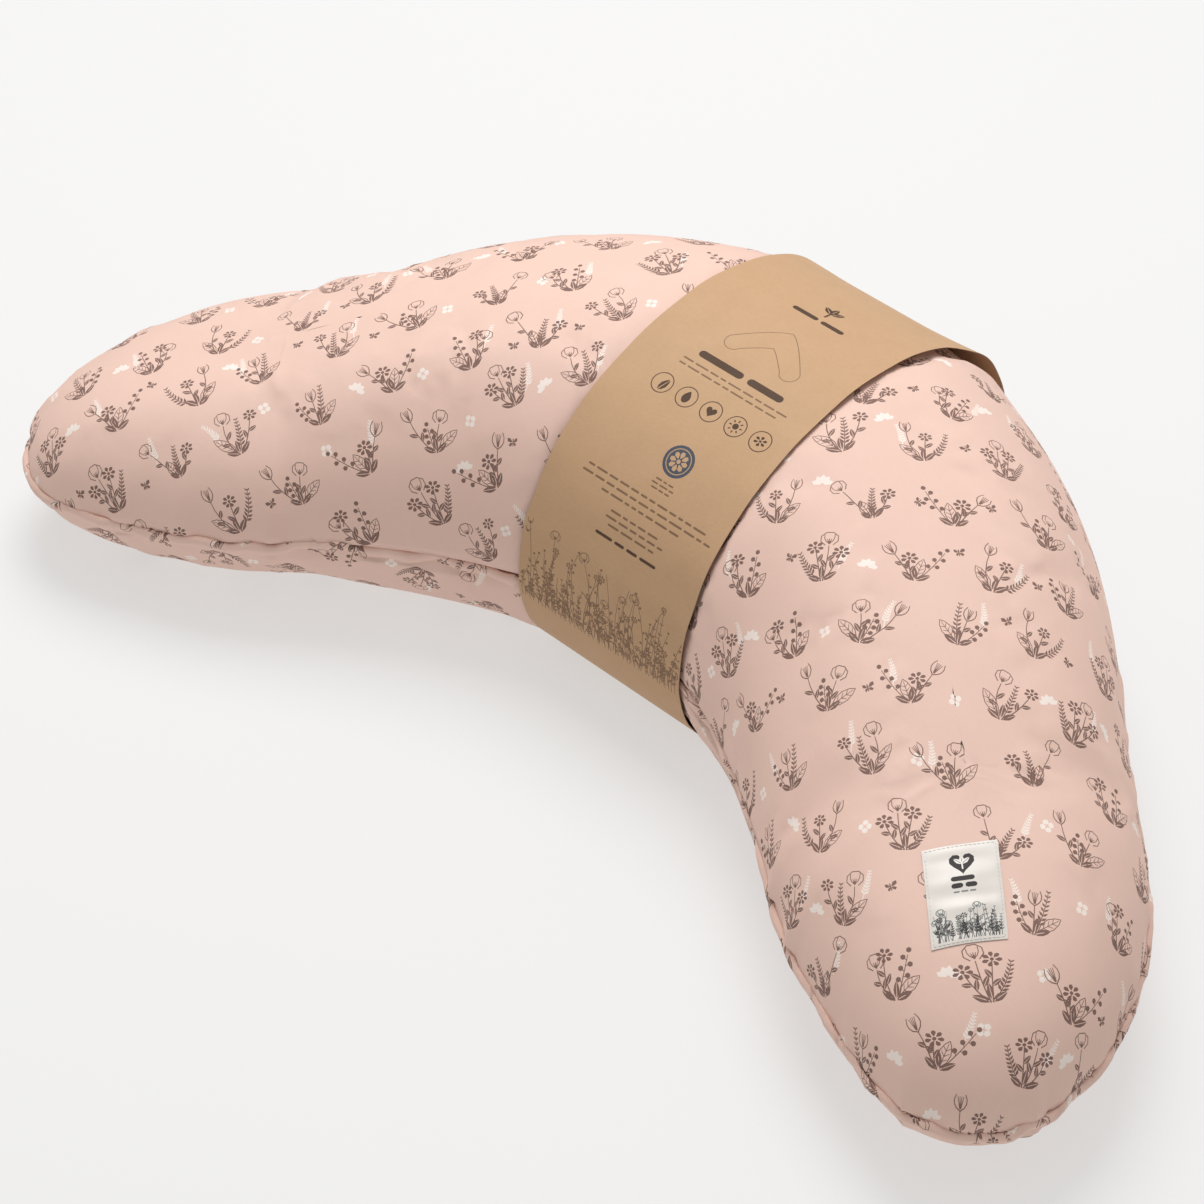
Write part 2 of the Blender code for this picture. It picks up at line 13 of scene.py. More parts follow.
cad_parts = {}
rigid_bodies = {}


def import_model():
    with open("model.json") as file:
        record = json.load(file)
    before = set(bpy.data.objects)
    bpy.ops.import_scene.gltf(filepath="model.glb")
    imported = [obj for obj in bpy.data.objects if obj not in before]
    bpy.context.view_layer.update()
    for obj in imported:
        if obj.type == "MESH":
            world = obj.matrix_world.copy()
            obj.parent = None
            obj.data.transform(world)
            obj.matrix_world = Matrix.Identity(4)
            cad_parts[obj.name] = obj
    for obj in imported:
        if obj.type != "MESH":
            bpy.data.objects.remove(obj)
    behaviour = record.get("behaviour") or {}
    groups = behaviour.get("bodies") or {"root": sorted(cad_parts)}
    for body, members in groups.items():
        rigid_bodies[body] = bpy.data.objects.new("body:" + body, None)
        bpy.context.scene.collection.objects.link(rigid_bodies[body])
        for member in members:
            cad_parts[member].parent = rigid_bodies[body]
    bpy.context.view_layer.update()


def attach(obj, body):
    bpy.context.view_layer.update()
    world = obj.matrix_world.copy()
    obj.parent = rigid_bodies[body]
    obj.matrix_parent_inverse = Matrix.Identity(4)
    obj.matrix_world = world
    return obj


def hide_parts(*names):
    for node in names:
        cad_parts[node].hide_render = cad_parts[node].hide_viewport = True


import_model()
scene = bpy.context.scene

# ---- camera ----
CAMERA_AT = Vector((1.0681, -1.1980, 1.6405))
CAMERA_LOOKS = Vector((-0.0387, -0.0432, 0.05))
CAMERA_ROLL = -0.735
LENS_MM = 102.85


def looking(place, target):
    """The matrix of a camera or a lamp that looks from a place at a target."""
    turn = (target - place).to_track_quat("-Z", "Y")
    return Matrix.Translation(place) @ turn.to_matrix().to_4x4()


camera_data = bpy.data.cameras.new("camera")
camera_data.lens = LENS_MM
camera_data.sensor_width = 36
camera_data.clip_end = 50
camera = bpy.data.objects.new("camera", camera_data)
scene.collection.objects.link(camera)
camera.matrix_world = (looking(CAMERA_AT, CAMERA_LOOKS)
                       @ Matrix.Rotation(radians(CAMERA_ROLL), 4, "Z"))
scene.camera = camera
scene.view_settings.view_transform = "Standard"

# ---- the pillow's plan and section, the same as the CAD part ----
ARM_ANGLE = 49.5
BEND_RUN = 0.270
HALF_RUN = 0.337
HALF_WIDTH = (0.1565, 0.1565, 0.1145, 0.1126)
TIP_REACH = 0.1795
TIP_POWER = 1.80
TOP_HEIGHT = (0.143, 0.143, 0.129, 0.088)
BASE_DEPTH = (0.107, 0.107, 0.118, 0.075)
SEAM_HEIGHT = 0.078
TIP_DIP = 0.018
TIP_SLOPE = 0.36
LEFT_SLUMP = 0.17
SLUMP_FROM = 0.14
SLUMP_TO = 0.42
TIP_PULLS = ((-0.378, -0.2986, 0.055, 0.000, -0.0125), (0.388, -0.2946, 0.065, 0.0003, -0.0155))
PLAN_POWER = 2.05
TOP_POWER = 0.49
BASE_POWER = 0.50
CENTRE_Y = 0.07683
ZIP_CENTRE = np.array((0.0554, -0.2693))
ZIP_RADIUS = 0.4382
RECESS = 0.0015
SLEEVE_HALF = 0.0700

ARM_STEPS = 72
TIP_STEPS = 72
TOP_STEPS = 40
BASE_STEPS = 18
FLOOR_STEPS = 9


def smooth(a, b, value):
    step = np.clip((value - a) / (b - a), 0, 1)
    return step * step * (3 - 2 * step)


def bezier(share, values):
    a, b, c, d = values
    rest = 1 - share
    return a * rest ** 3 + 3 * b * share * rest ** 2 + 3 * c * share ** 2 * rest + d * share ** 3


def unit(v):
    return v / np.maximum(np.linalg.norm(v, axis=-1, keepdims=True), 1e-12)


def added_up(steps):
    return np.concatenate([[0], np.cumsum(steps)])


def distances(line):
    """How far along a line each of its points is."""
    return added_up(np.linalg.norm(np.diff(line, axis=0), axis=1))


def picked(line, run, at):
    """Points of a line at new places along it."""
    return np.stack([np.interp(at, run, values) for values in line.T], -1)


def strips(number, closed=True):
    """Quads between neighbouring rows of vertex numbers."""
    here, ahead = (number, np.roll(number, -1, 0)) if closed else (number[:-1], number[1:])
    return np.stack([here[:, :-1], ahead[:, :-1], ahead[:, 1:], here[:, 1:]], -1).reshape(-1, 4)


def joined(grid):
    """Which points of a grid differ, and each place's number among them."""
    _, first, index = np.unique(np.round(grid.reshape(-1, 3), 6), axis=0, return_index=True,
                                return_inverse=True)
    return first, index.reshape(grid.shape[:2])


def new_object(name, points, faces, looks=()):
    """A smooth mesh object with its material slots."""
    data = bpy.data.meshes.new(name)
    data.from_pydata(points, [], faces)
    data.polygons.foreach_set("use_smooth", np.ones(len(faces), bool))
    for look in looks:
        data.materials.append(look)
    obj = bpy.data.objects.new(name, data)
    scene.collection.objects.link(obj)
    return obj


def half_outline():
    run = np.linspace(0, HALF_RUN, 400)
    turn = radians(90 - ARM_ANGLE) * np.sin(pi / 2 * np.minimum(run / BEND_RUN, 1))
    step = np.diff(run)
    x = added_up((np.cos(turn[1:]) + np.cos(turn[:-1])) / 2 * step)
    y = -added_up((np.sin(turn[1:]) + np.sin(turn[:-1])) / 2 * step)
    share = run / HALF_RUN
    width = bezier(share, HALF_WIDTH)
    nx, ny = np.sin(turn), np.cos(turn)
    outer, inner = (np.stack([x + nx * side, y + ny * side, x, y, share, 0 * share], 1)
                    for side in (width, -width))
    swing = np.linspace(0, pi, 202)[1:-1]
    across = np.abs(np.cos(swing)) ** (2 / TIP_POWER) * np.sign(np.cos(swing)) * width[-1]
    along = np.sin(swing) ** (2 / TIP_POWER) * TIP_REACH
    tx, ty = np.cos(turn[-1]), -np.sin(turn[-1])
    one = np.ones_like(swing)
    tip = np.stack([x[-1] + tx * along + nx[-1] * across, y[-1] + ty * along + ny[-1] * across,
                    x[-1] * one, y[-1] * one, one, np.sin(swing)], 1)
    return np.concatenate([outer, tip, inner[::-1]])


def whole_outline():
    """Rows round the seam: edge x, y; foot x, y; share of arm; tip; place on left outer seam."""
    half = half_outline()
    length = distances(half[:, :2])
    run = np.linspace(0, 399, ARM_STEPS + 1)
    index = np.concatenate([run, (399 + np.linspace(0, 201, TIP_STEPS + 1))[1:-1], 600 + run])
    right = picked(half, np.arange(len(half)), index)
    spots = np.interp(index, np.arange(len(half)), length)
    left = right[-2:0:-1] * np.array([-1, 1, -1, 1, 1, 1])
    rows = np.concatenate([right, left])
    place = np.concatenate([np.full(len(right), -1.0), spots[-2:0:-1]])
    place[0] = 0
    pull = smooth(0.050, 0.085, place) * (1 - smooth(0.365, 0.410, place))
    arm = rows[:, :2] - ZIP_CENTRE
    on_circle = ZIP_CENTRE + arm * (ZIP_RADIUS / np.hypot(*arm.T))[:, None]
    rows[:, :2] += (on_circle - rows[:, :2]) * pull[:, None]
    for x, y, reach, east, north in TIP_PULLS:
        near = np.exp(-((rows[:, 0] - x) ** 2 + (rows[:, 1] - y) ** 2) / reach ** 2)
        rows[:, :2] += near[:, None] * np.array((east, north))
    rows[:, (1, 3)] += CENTRE_Y
    return np.column_stack([rows, place])


ROWS = whole_outline()
COUNT = len(ROWS)
EDGE, FOOT = ROWS[:, :2], ROWS[:, 2:4]
SHARE, TIP, PLACE = ROWS[:, 4], ROWS[:, 5], ROWS[:, 6]
ZIPPED = smooth(0.081, 0.089, PLACE) * (1 - smooth(0.356, 0.364, PLACE))
CALM = 1 - 0.85 * smooth(0.055, 0.080, PLACE) * (1 - smooth(0.364, 0.390, PLACE))   # by the zip
TURN = distances(np.vstack([EDGE, EDGE[:1]]))
ROUND = TURN[-1]
TURN = TURN[:-1]
OUTWARD = unit(EDGE - FOOT)
OUT = np.column_stack([OUTWARD, 0 * TURN])
UPWARD = np.array((0, 0, 1))
DIP = 0.3 * smooth(0.92, 1.0, SHARE) + 0.7 * TIP     # how much each row sinks towards a tip


def waves(seed, along, lengths, weights):
    """A smooth wavy line round the seam, made of whole waves so that it closes on itself."""
    draw = np.random.default_rng(seed)
    total = np.zeros_like(along)
    for length, weight in zip(lengths, weights):
        for _ in range(3):
            count = max(round(ROUND / (length * draw.uniform(0.75, 1.3))), 1)
            total += weight / 3 * np.sin(2 * pi * (count * along / ROUND + draw.uniform(0, 1)))
    return total


def top_grid(reach):
    """Rings of the upper panel from the seam (reach 1) to the crown line (reach 0)."""
    r = reach[None, :]
    spot = FOOT[:, None] + (EDGE - FOOT)[:, None] * r[..., None]
    rise = (1 - r ** PLAN_POWER) ** TOP_POWER
    dip = TIP_DIP * DIP[:, None] * r ** 2
    run_on = TIP_SLOPE * TIP[:, None] * TIP_REACH * r * (1 - r) ** 2
    slump = 1 - LEFT_SLUMP * smooth(SLUMP_FROM, SLUMP_TO, -spot[..., 0])
    z = SEAM_HEIGHT + bezier(SHARE, TOP_HEIGHT)[:, None] * rise * slump - dip - run_on
    return np.concatenate([spot, z[..., None]], 2)


def floor_height(x):
    return RECESS * (1 - smooth(SLEEVE_HALF + 0.030, SLEEVE_HALF + 0.070, np.abs(x)))


def base_grid():
    """Rings of the lower panel: down to the floor, then in to the centre line."""
    depth = bezier(SHARE, BASE_DEPTH)
    seam = SEAM_HEIGHT - TIP_DIP * DIP
    level = floor_height(EDGE[:, 0] * 0.4 + FOOT[:, 0] * 0.6)
    share = np.minimum((seam - level) / depth, 0.995)
    touch = (1 - share ** (1 / BASE_POWER)) ** (1 / PLAN_POWER)
    swing = np.arccos(touch)[:, None] * np.linspace(0, 1, BASE_STEPS + 1)[None, :]
    r = np.cos(swing)
    z = seam[:, None] - depth[:, None] * (1 - r ** PLAN_POWER) ** BASE_POWER
    inner = touch[:, None] * (1 - np.linspace(0, 1, FLOOR_STEPS + 1)[None, 1:])
    r = np.concatenate([r, inner], 1)
    spot = FOOT[:, None] + (EDGE - FOOT)[:, None] * r[..., None]
    low = floor_height(spot[..., 0])
    z = np.maximum(np.concatenate([z, low[:, BASE_STEPS + 1:]], 1), low)
    return np.concatenate([spot, z[..., None]], 2)


TOP_REACH = np.cos(np.linspace(0, pi / 2, TOP_STEPS + 1))
TOP_REACH[-1] = 0
top = top_grid(TOP_REACH)
base = base_grid()


# ---- cloth: the cover is puffed by its filling, held by the band and gathered at the seam ----
CLOTH_FRAMES = 18
CLOTH_CAP = 0.0055
CLOTH_SLIDE = 0.0015
TUCK = 0.0032
LIFT = 0.0003             # keeps the cloth clear of the inner cushion
SWELL_TOP = 0.0045        # beside the paper band
SWELL_BASE = 0.0030


def grid_normals(grid):
    """Normals of a wrapped grid, from its neighbours."""
    along = np.roll(grid, -1, 0) - np.roll(grid, 1, 0)
    across = np.gradient(grid, axis=1)
    return unit(np.cross(along, across))


CLOTH_SETTINGS = dict(
    quality=5, mass=0.2, air_damping=2.0, tension_stiffness=12, compression_stiffness=6,
    shear_stiffness=4, bending_stiffness=0.05, use_pressure=True, uniform_pressure_force=2.5,
    vertex_group_mass="pins", pin_stiffness=1.0, vertex_group_shrink="seam", shrink_min=-0.02,
    shrink_max=0.07)


def relax(whole, held, gather, normal):
    """Runs Blender's cloth with pressure on a closed grid and returns the moved grid."""
    first, number = joined(whole)
    index = number.ravel()
    faces = []
    for quad in strips(number).tolist():
        corners = [c for k, c in enumerate(quad) if c != quad[k - 1]]
        if len(set(corners)) == len(corners) > 2:
            faces.append(corners)
    start = whole.reshape(-1, 3)[first]
    obj = new_object("cloth", start.tolist(), faces)
    builder = bmesh.new()
    builder.from_mesh(obj.data)
    bmesh.ops.recalc_face_normals(builder, faces=builder.faces)
    builder.to_mesh(obj.data)
    builder.free()
    for name, values in (("pins", held), ("seam", gather)):
        group = obj.vertex_groups.new(name=name)
        weight = np.zeros(len(first))
        np.maximum.at(weight, index, values.reshape(-1))
        for k in np.nonzero(weight > 0.01)[0].tolist():
            group.add([k], float(weight[k]), "REPLACE")
    cloth = obj.modifiers.new("cloth", "CLOTH")
    for key, value in CLOTH_SETTINGS.items():
        setattr(cloth.settings, key, value)
    cloth.settings.effector_weights.gravity = 0
    cloth.collision_settings.use_collision = False
    cloth.collision_settings.use_self_collision = False
    cloth.point_cache.frame_start = 1
    cloth.point_cache.frame_end = CLOTH_FRAMES + 2
    for step in range(1, CLOTH_FRAMES + 1):
        scene.frame_set(step)
    shaped = obj.evaluated_get(bpy.context.evaluated_depsgraph_get()).data
    moved = np.empty(start.size)
    shaped.vertices.foreach_get("co", moved)
    scene.frame_set(1)
    shift = (moved.reshape(-1, 3) - start)[number]
    bpy.data.objects.remove(obj, do_unlink=True)
    rise = (shift * normal).sum(-1, keepdims=True)
    slide = (shift - rise * normal) * 0.3
    size = np.maximum(np.linalg.norm(slide, axis=-1, keepdims=True), 1e-9)
    slide *= np.minimum(1, CLOTH_SLIDE / size)
    rise = CLOTH_CAP * np.tanh(np.maximum(rise, 0) / CLOTH_CAP)
    return whole + (rise * normal + slide) * (1 - np.minimum(held, 1))[..., None]


def band_bulge(x):
    """How much the cushion swells beside the paper band, 0 under it and far from it."""
    beside = np.abs(x) - SLEEVE_HALF
    return np.where(beside > 0, np.exp(-beside / 0.05) * (1 - np.exp(-beside / 0.008)), 0.0)


BASE_BELOW = base[:, :1, 2] - base[..., 2]
top_normal = grid_normals(top)
base_normal = grid_normals(base)
if top_normal[..., 2].mean() < 0:
    top_normal *= -1
base_out = base - np.column_stack([FOOT, np.full(COUNT, 0.09)])[:, None]
if (base_normal * base_out).sum(-1).mean() < 0:
    base_normal *= -1
steady = smooth(0.0, 0.25, TOP_REACH)[None, :, None]
top_normal = unit(top_normal * steady + UPWARD * (1 - steady))
side_top = smooth(0, 0.012, top[..., 2] - SEAM_HEIGHT)
shape_top = LIFT * side_top + SWELL_TOP * band_bulge(top[..., 0]) * side_top
top = top + top_normal * shape_top[..., None]
side_base = smooth(0.0, 0.012, SEAM_HEIGHT - base[..., 2]) * smooth(0.004, 0.03, base[..., 2])
shape_base = LIFT * side_base + SWELL_BASE * band_bulge(base[..., 0]) * side_base
base = base + base_normal * shape_base[..., None]

# The lower panel tucks in under the rim at the arms' tips.
tuck = TUCK * smooth(0.9, 1.0, SHARE)[:, None] * np.exp(-((BASE_BELOW - 0.028) / 0.022) ** 2)
base[..., :2] -= OUTWARD[:, None] * tuck[..., None]

# Small seeded folds beside the seam give the gathers somewhere to start.
PUCKER = 0.0012
TIP_FOLD = 0.0042
pucker = waves(3, TURN, (0.016, 0.026, 0.045), (0.4, 0.4, 0.3))
FREE = 1 - (np.abs(EDGE[:, 0]) < SLEEVE_HALF + 0.004)
tip_folds = (TIP_FOLD * smooth(0.85, 1.0, SHARE) * CALM
             * np.clip(waves(5, TURN, (0.034, 0.055), (1.0, 0.8)), 0, 1) ** 1.4)
depth_top = np.clip(top[..., 2] - top[:, :1, 2], 0, None)
depth_base = np.clip(base[:, :1, 2] - base[..., 2], 0, None)
for grid, normal, depth in ((top, top_normal, depth_top), (base, base_normal, depth_base)):
    near = np.exp(-depth / 0.014) * smooth(0, 0.004, depth)
    far = np.exp(-depth / 0.034) * smooth(0, 0.008, depth)
    grid += normal * (PUCKER * pucker * FREE * CALM)[:, None, None] * near[..., None]
    grid += normal * tip_folds[:, None, None] * far[..., None]

held_top = np.maximum(np.maximum(1 - smooth(0.05, 0.30, TOP_REACH), TOP_REACH > 0.9999)[None, :],
                      (np.abs(top[..., 0]) < SLEEVE_HALF - 0.002))
held_base = np.maximum(base[..., 2] < 0.0035, np.abs(base[..., 0]) < SLEEVE_HALF - 0.002)
gather_top = np.exp(-depth_top / 0.010)
gather_base = np.exp(-depth_base / 0.010)
whole = np.concatenate([top[:, ::-1], base[:, 1:]], 1)
held = np.concatenate([np.broadcast_to(held_top, top.shape[:2])[:, ::-1],
                       held_base[:, 1:]], 1).astype(float)
gather = np.concatenate([gather_top[:, ::-1], gather_base[:, 1:]], 1)
whole = relax(whole, held, gather, np.concatenate([top_normal[:, ::-1], base_normal[:, 1:]], 1))
top = whole[:, TOP_STEPS::-1]
base = whole[:, TOP_STEPS:]


# ---- seam: the allowance is turned down, so the lower panel's edge stands out as a rim ----
WANDER_OUT = 0.0010
WANDER_UP = 0.0015
wander = np.stack([WANDER_OUT * waves(11, TURN, (0.05, 0.09), (1, 1)),
                   WANDER_UP * waves(12, TURN, (0.035, 0.07), (1, 1))], 1)
wander *= (FREE * CALM)[:, None]
seam_line = top[:, 0] + OUT * wander[:, :1] + UPWARD * wander[:, 1:]
rim_size = 1 + 0.16 * waves(13, TURN, (0.02, 0.04, 0.11), (0.7, 0.7, 0.6))
rim_size = np.where(FREE > 0, rim_size, 0.55)


def seam_rows(profile, zip_profile, size):
    """Rows of points beside the seam from profiles of (out, up) in millimetres."""
    rows = []
    for (a, b), (c, d) in zip(profile, zip_profile):
        out = (a * size * (1 - ZIPPED) + c * ZIPPED) / 1000
        up = (b * size * (1 - ZIPPED) + d * ZIPPED) / 1000
        rows.append(seam_line + OUT * out[:, None] + UPWARD * up[:, None])
    return np.stack(rows, 1)


TOP_SEAM = ((-3.2, 0.2), (-3.4, 1.4), (-2.8, 3.0), (-1.5, 4.9))
TOP_ZIP = ((-1.2, 3.1), (-0.5, 3.0), (0.1, 3.6), (0.2, 4.6))
RIM = ((-3.2, 0.1), (-2.7, 2.0), (-1.3, 3.4), (0.5, 3.8), (2.2, 3.0), (3.3, 1.2),
       (3.3, -0.9), (2.4, -2.9), (1.0, -4.7), (0.2, -7.0))
RIM_ZIP = ((-1.2, -3.1), (-0.9, -3.0), (-0.5, -2.95), (-0.1, -3.05), (0.1, -3.3), (0.2, -3.7),
           (0.2, -4.3), (0.2, -5.0), (0.1, -5.9), (0.0, -7.0))
top_edge = seam_rows(TOP_SEAM, TOP_ZIP, np.ones(COUNT))
rim = seam_rows(RIM, RIM_ZIP, rim_size)
top_full = np.concatenate([top_edge, top[:, 1:]], 1)
base_full = np.concatenate([rim, base[:, 2:]], 1)


FLAT_ROUNDS = 1300


def flat_core(grid):
    """Opens the cloth out flat: every thread keeps its length as nearly as it can."""
    rings = np.unique(np.append(np.arange(0, grid.shape[1], 2), grid.shape[1] - 1))
    coarse = grid[::2, rings]
    first, number = joined(coarse)
    ahead = np.roll(number, -1, 0)
    pairs = np.concatenate([np.stack([a.ravel(), b.ravel()], 1) for a, b in (
        (number, ahead), (number[:, :-1], number[:, 1:]),
        (number[:, :-1], ahead[:, 1:]), (number[:, 1:], ahead[:, :-1]))])
    pairs = np.unique(np.sort(pairs[pairs[:, 0] != pairs[:, 1]], 1), axis=0)
    solid = coarse.reshape(-1, 3)[first]
    step = np.linalg.norm(np.diff(coarse[:, ::-1], axis=1), axis=2)
    reach = np.concatenate([np.zeros((len(coarse), 1)), np.cumsum(step, 1)], 1)[:, ::-1]
    spot = FOOT[::2, None] * 1.15 + OUTWARD[::2, None] * reach[..., None] * 1.05
    spot = spot.reshape(-1, 2)[first]
    size = np.linalg.norm(solid[pairs[:, 0]] - solid[pairs[:, 1]], axis=1)
    ends = np.concatenate([pairs[:, 0], pairs[:, 1]])
    count = np.maximum(np.bincount(ends, minlength=len(spot)), 1)
    speed = np.zeros_like(spot)
    for _ in range(FLAT_ROUNDS):
        gap = spot[pairs[:, 1]] - spot[pairs[:, 0]]
        length = np.maximum(np.hypot(gap[:, 0], gap[:, 1]), 1e-9)
        pull = gap * (0.5 * (1 - size / length))[:, None]
        for axis in (0, 1):
            both = np.concatenate([pull[:, axis], -pull[:, axis]])
            speed[:, axis] = 0.9 * speed[:, axis] + np.bincount(ends, both, len(spot)) / count
        spot = spot + speed
    flat = spot[number]
    rows = np.empty((len(grid), len(rings), 2))
    rows[::2] = flat
    rows[1::2] = (flat + np.roll(flat, -1, 0)) / 2
    place = np.interp(np.arange(grid.shape[1]), rings, np.arange(len(rings)))
    low = np.minimum(place.astype(int), len(rings) - 2)
    share = (place - low)[None, :, None]
    return rows[:, low] * (1 - share) + rows[:, low + 1] * share


def flat_of(grid, narrow):
    """The flat pattern; the narrow rings beside the seam run straight on from it."""
    core = flat_core(grid[:, narrow:])
    for ring, share in ((-3, 0.5), (-2, 0.75)):        # the tips' poles stay free of folds
        core[:, ring] = core[:, -5] + (core[:, -1] - core[:, -5]) * share
    way = unit(core[:, 0] - core[:, 2])
    for _ in range(4):
        way = unit(np.roll(way, 1, 0) + 2 * way + np.roll(way, -1, 0))
    out = [core]
    for ring in range(narrow - 1, -1, -1):
        step = np.linalg.norm(grid[:, ring] - grid[:, ring + 1], axis=1)
        out.insert(0, out[0][:, :1] + (way * step[:, None])[:, None])
    return np.concatenate(out, 1)


top_flat = flat_of(top_full, len(TOP_SEAM))
base_flat = flat_of(base_full, len(RIM))


# ---- materials ----
def srgb(r, g, b):
    return tuple(((c / 255 + 0.055) / 1.055) ** 2.4 if c > 10 else c / 3294 for c in (r, g, b))


class Nodes:
    """Short calls for building the node tree of one material or world."""

    def __init__(self, name, uv="", kind=bpy.data.materials, shader="Principled BSDF"):
        self.made = kind.new(name)
        self.made.use_nodes = True
        self.tree = self.made.node_tree
        self.shader = self.tree.nodes[shader]
        if uv:
            self.spot = self.add("ShaderNodeUVMap", uv_map=uv).outputs[0]
        else:
            self.spot = self.add("ShaderNodeTexCoord").outputs["Object"]

    def put(self, value, node, socket):
        """Links a socket to a socket, or sets a number or a colour on it."""
        if isinstance(value, (int, float)):
            node.inputs[socket].default_value = value
        elif isinstance(value, tuple):
            node.inputs[socket].default_value = (*value, 1)
        else:
            self.tree.links.new(value, node.inputs[socket])

    def add(self, kind, **values):
        node = self.tree.nodes.new(kind)
        for key, value in values.items():
            if key in node.inputs:
                node.inputs[key].default_value = value
            else:
                setattr(node, key, value)
        return node

    def math(self, operation, a, b, c=0.0):
        node = self.add("ShaderNodeMath", operation=operation)
        for slot, value in enumerate((a, b, c)):
            self.put(value, node, slot)
        return node.outputs[0]

    def mix(self, share, a, b):
        node = self.add("ShaderNodeMix", data_type="RGBA")
        for slot, value in ((0, share), (6, a), (7, b)):
            self.put(value, node, slot)
        return node.outputs[2]

    def noise(self, scale, detail, stretch=None, **values):
        """Noise on the surface's own coordinates, drawn out by stretch."""
        node = self.add("ShaderNodeTexNoise", Scale=scale, Detail=detail, **values)
        spot = self.spot
        if stretch:
            drawn_out = self.add("ShaderNodeMapping", Scale=stretch)
            self.put(spot, drawn_out, "Vector")
            spot = drawn_out.outputs[0]
        self.put(spot, node, "Vector")
        return node.outputs[0]

    def set(self, **values):
        for key, value in values.items():
            self.shader.inputs[key.replace("_", " ")].default_value = value

    def finish(self, colour, height, strength, distance, rough, **values):
        """Colour, relief in metres, roughness and plain values; returns the material."""
        self.put(colour, self.shader, "Base Color")
        bump = self.add("ShaderNodeBump", Strength=strength, Distance=distance)
        self.put(height, bump, "Height")
        self.put(bump.outputs[0], self.shader, "Normal")
        self.put(rough, self.shader, "Roughness")
        self.set(**values)
        return self.made


def cotton(name, colour, deep, roughness=0.72, sheen=0.35, pitch=0.0007, uv="flat", mottle=0.10,
           bump=0.25):
    """Smooth woven cotton: thread relief, slubs and a little uneven dye."""
    nodes = Nodes(name, uv)
    cloudy = nodes.noise(22.0, 4.0, Roughness=0.6)
    slub = nodes.noise(1.0, 2.0, (160.0, 900.0, 160.0))
    split = nodes.add("ShaderNodeSeparateXYZ")
    nodes.put(nodes.spot, split, 0)
    warp, weft = (nodes.math("SINE", nodes.math("MULTIPLY", way, 2 * pi / pitch), 0.0)
                  for way in split.outputs[:2])
    threads = nodes.math("MULTIPLY", warp, weft)
    blend = nodes.math("ADD", nodes.math("MULTIPLY", cloudy, mottle * 4),
                       nodes.math("MULTIPLY", slub, mottle * 3))
    fibre = nodes.math("ADD", nodes.math("MULTIPLY", threads, 0.5),
                       nodes.math("MULTIPLY", slub, 1.2))
    return nodes.finish(nodes.mix(blend, colour, deep), fibre, bump, 0.00025,
                        nodes.math("MULTIPLY_ADD", slub, 0.12, roughness - 0.06),
                        Sheen_Weight=sheen, Sheen_Roughness=0.45, Specular_IOR_Level=0.35,
                        Sheen_Tint=(*colour, 1))


def satin(name, light, dark):
    nodes = Nodes(name)
    rib = nodes.noise(1.0, 2.0, (1500.0, 1500.0, 6000.0))
    return nodes.finish(nodes.mix(nodes.noise(60.0, 3.0), light, dark), rib, 0.3, 0.00012, 0.38,
                        Sheen_Weight=0.25, Anisotropic=0.4, Specular_IOR_Level=0.5)


def kraft(name, light, dark):
    """Unbleached kraft paper: fibres, specks and a faint machine grain."""
    nodes = Nodes(name)
    fibre = nodes.noise(1.0, 5.0, (260.0, 1400.0, 1400.0), Roughness=0.7)
    cloud = nodes.noise(55.0, 4.0)
    speck = nodes.add("ShaderNodeTexVoronoi", Scale=520.0)
    nodes.put(nodes.spot, speck, "Vector")
    dots = nodes.math("LESS_THAN", speck.outputs["Distance"], 0.10)
    body = nodes.mix(nodes.math("ADD", nodes.math("MULTIPLY", fibre, 0.7),
                                nodes.math("MULTIPLY", cloud, 0.25)), light, dark)
    return nodes.finish(nodes.mix(nodes.math("MULTIPLY", dots, 0.35), body, srgb(120, 88, 58)),
                        fibre, 0.35, 0.0002, nodes.math("MULTIPLY_ADD", cloud, 0.12, 0.66),
                        Specular_IOR_Level=0.35)


def moulded(name, light, dark, rough, swing=0.0, grain=400.0, detail=3.0, relief=0.2,
            metallic=0.0):
    """Nylon, glue or metal: one fine noise for its tone, its relief and its roughness."""
    nodes = Nodes(name)
    cloud = nodes.noise(grain, detail)
    level = nodes.math("MULTIPLY_ADD", cloud, swing, rough) if swing else rough
    return nodes.finish(nodes.mix(cloud, light, dark), cloud, relief, 0.0001, level,
                        Metallic=metallic)


BLUSH = srgb(239, 207, 193)
BLUSH_DEEP = srgb(226, 188, 172)
COTTON = cotton("printed_cotton", BLUSH, BLUSH_DEEP)
INK = cotton("brown_ink", srgb(138, 109, 99), srgb(120, 92, 83), sheen=0.15)
INK_WHITE = cotton("white_ink", srgb(250, 238, 230), srgb(244, 229, 219), sheen=0.2)
THREAD = cotton("blush_thread", srgb(225, 182, 164), srgb(205, 160, 144), uv="", pitch=0.0003)
CALICO = cotton("inner_calico", srgb(240, 234, 222), srgb(226, 218, 202), uv="", pitch=0.0009)
KAPOK = cotton("kapok", srgb(240, 234, 214), srgb(222, 212, 186), uv="", pitch=0.004, bump=0.6)
TAPE = cotton("zip_tape", srgb(226, 186, 170), srgb(206, 166, 150), uv="", pitch=0.0006, bump=0.5)
SATIN = satin("label_satin", srgb(232, 227, 220), srgb(221, 215, 207))
KRAFT = kraft("kraft_paper", srgb(208, 172, 135), srgb(181, 144, 109))
PRINT_DARK = kraft("kraft_print", srgb(92, 70, 54), srgb(76, 56, 44))
PRINT_BLUE = kraft("kraft_print_blue", srgb(84, 88, 98), srgb(74, 78, 88))
PRINT_MID = kraft("kraft_print_tint", srgb(140, 110, 84), srgb(126, 98, 74))
LABEL_INK = cotton("label_ink", srgb(70, 66, 66), srgb(58, 54, 54), uv="", sheen=0.0)
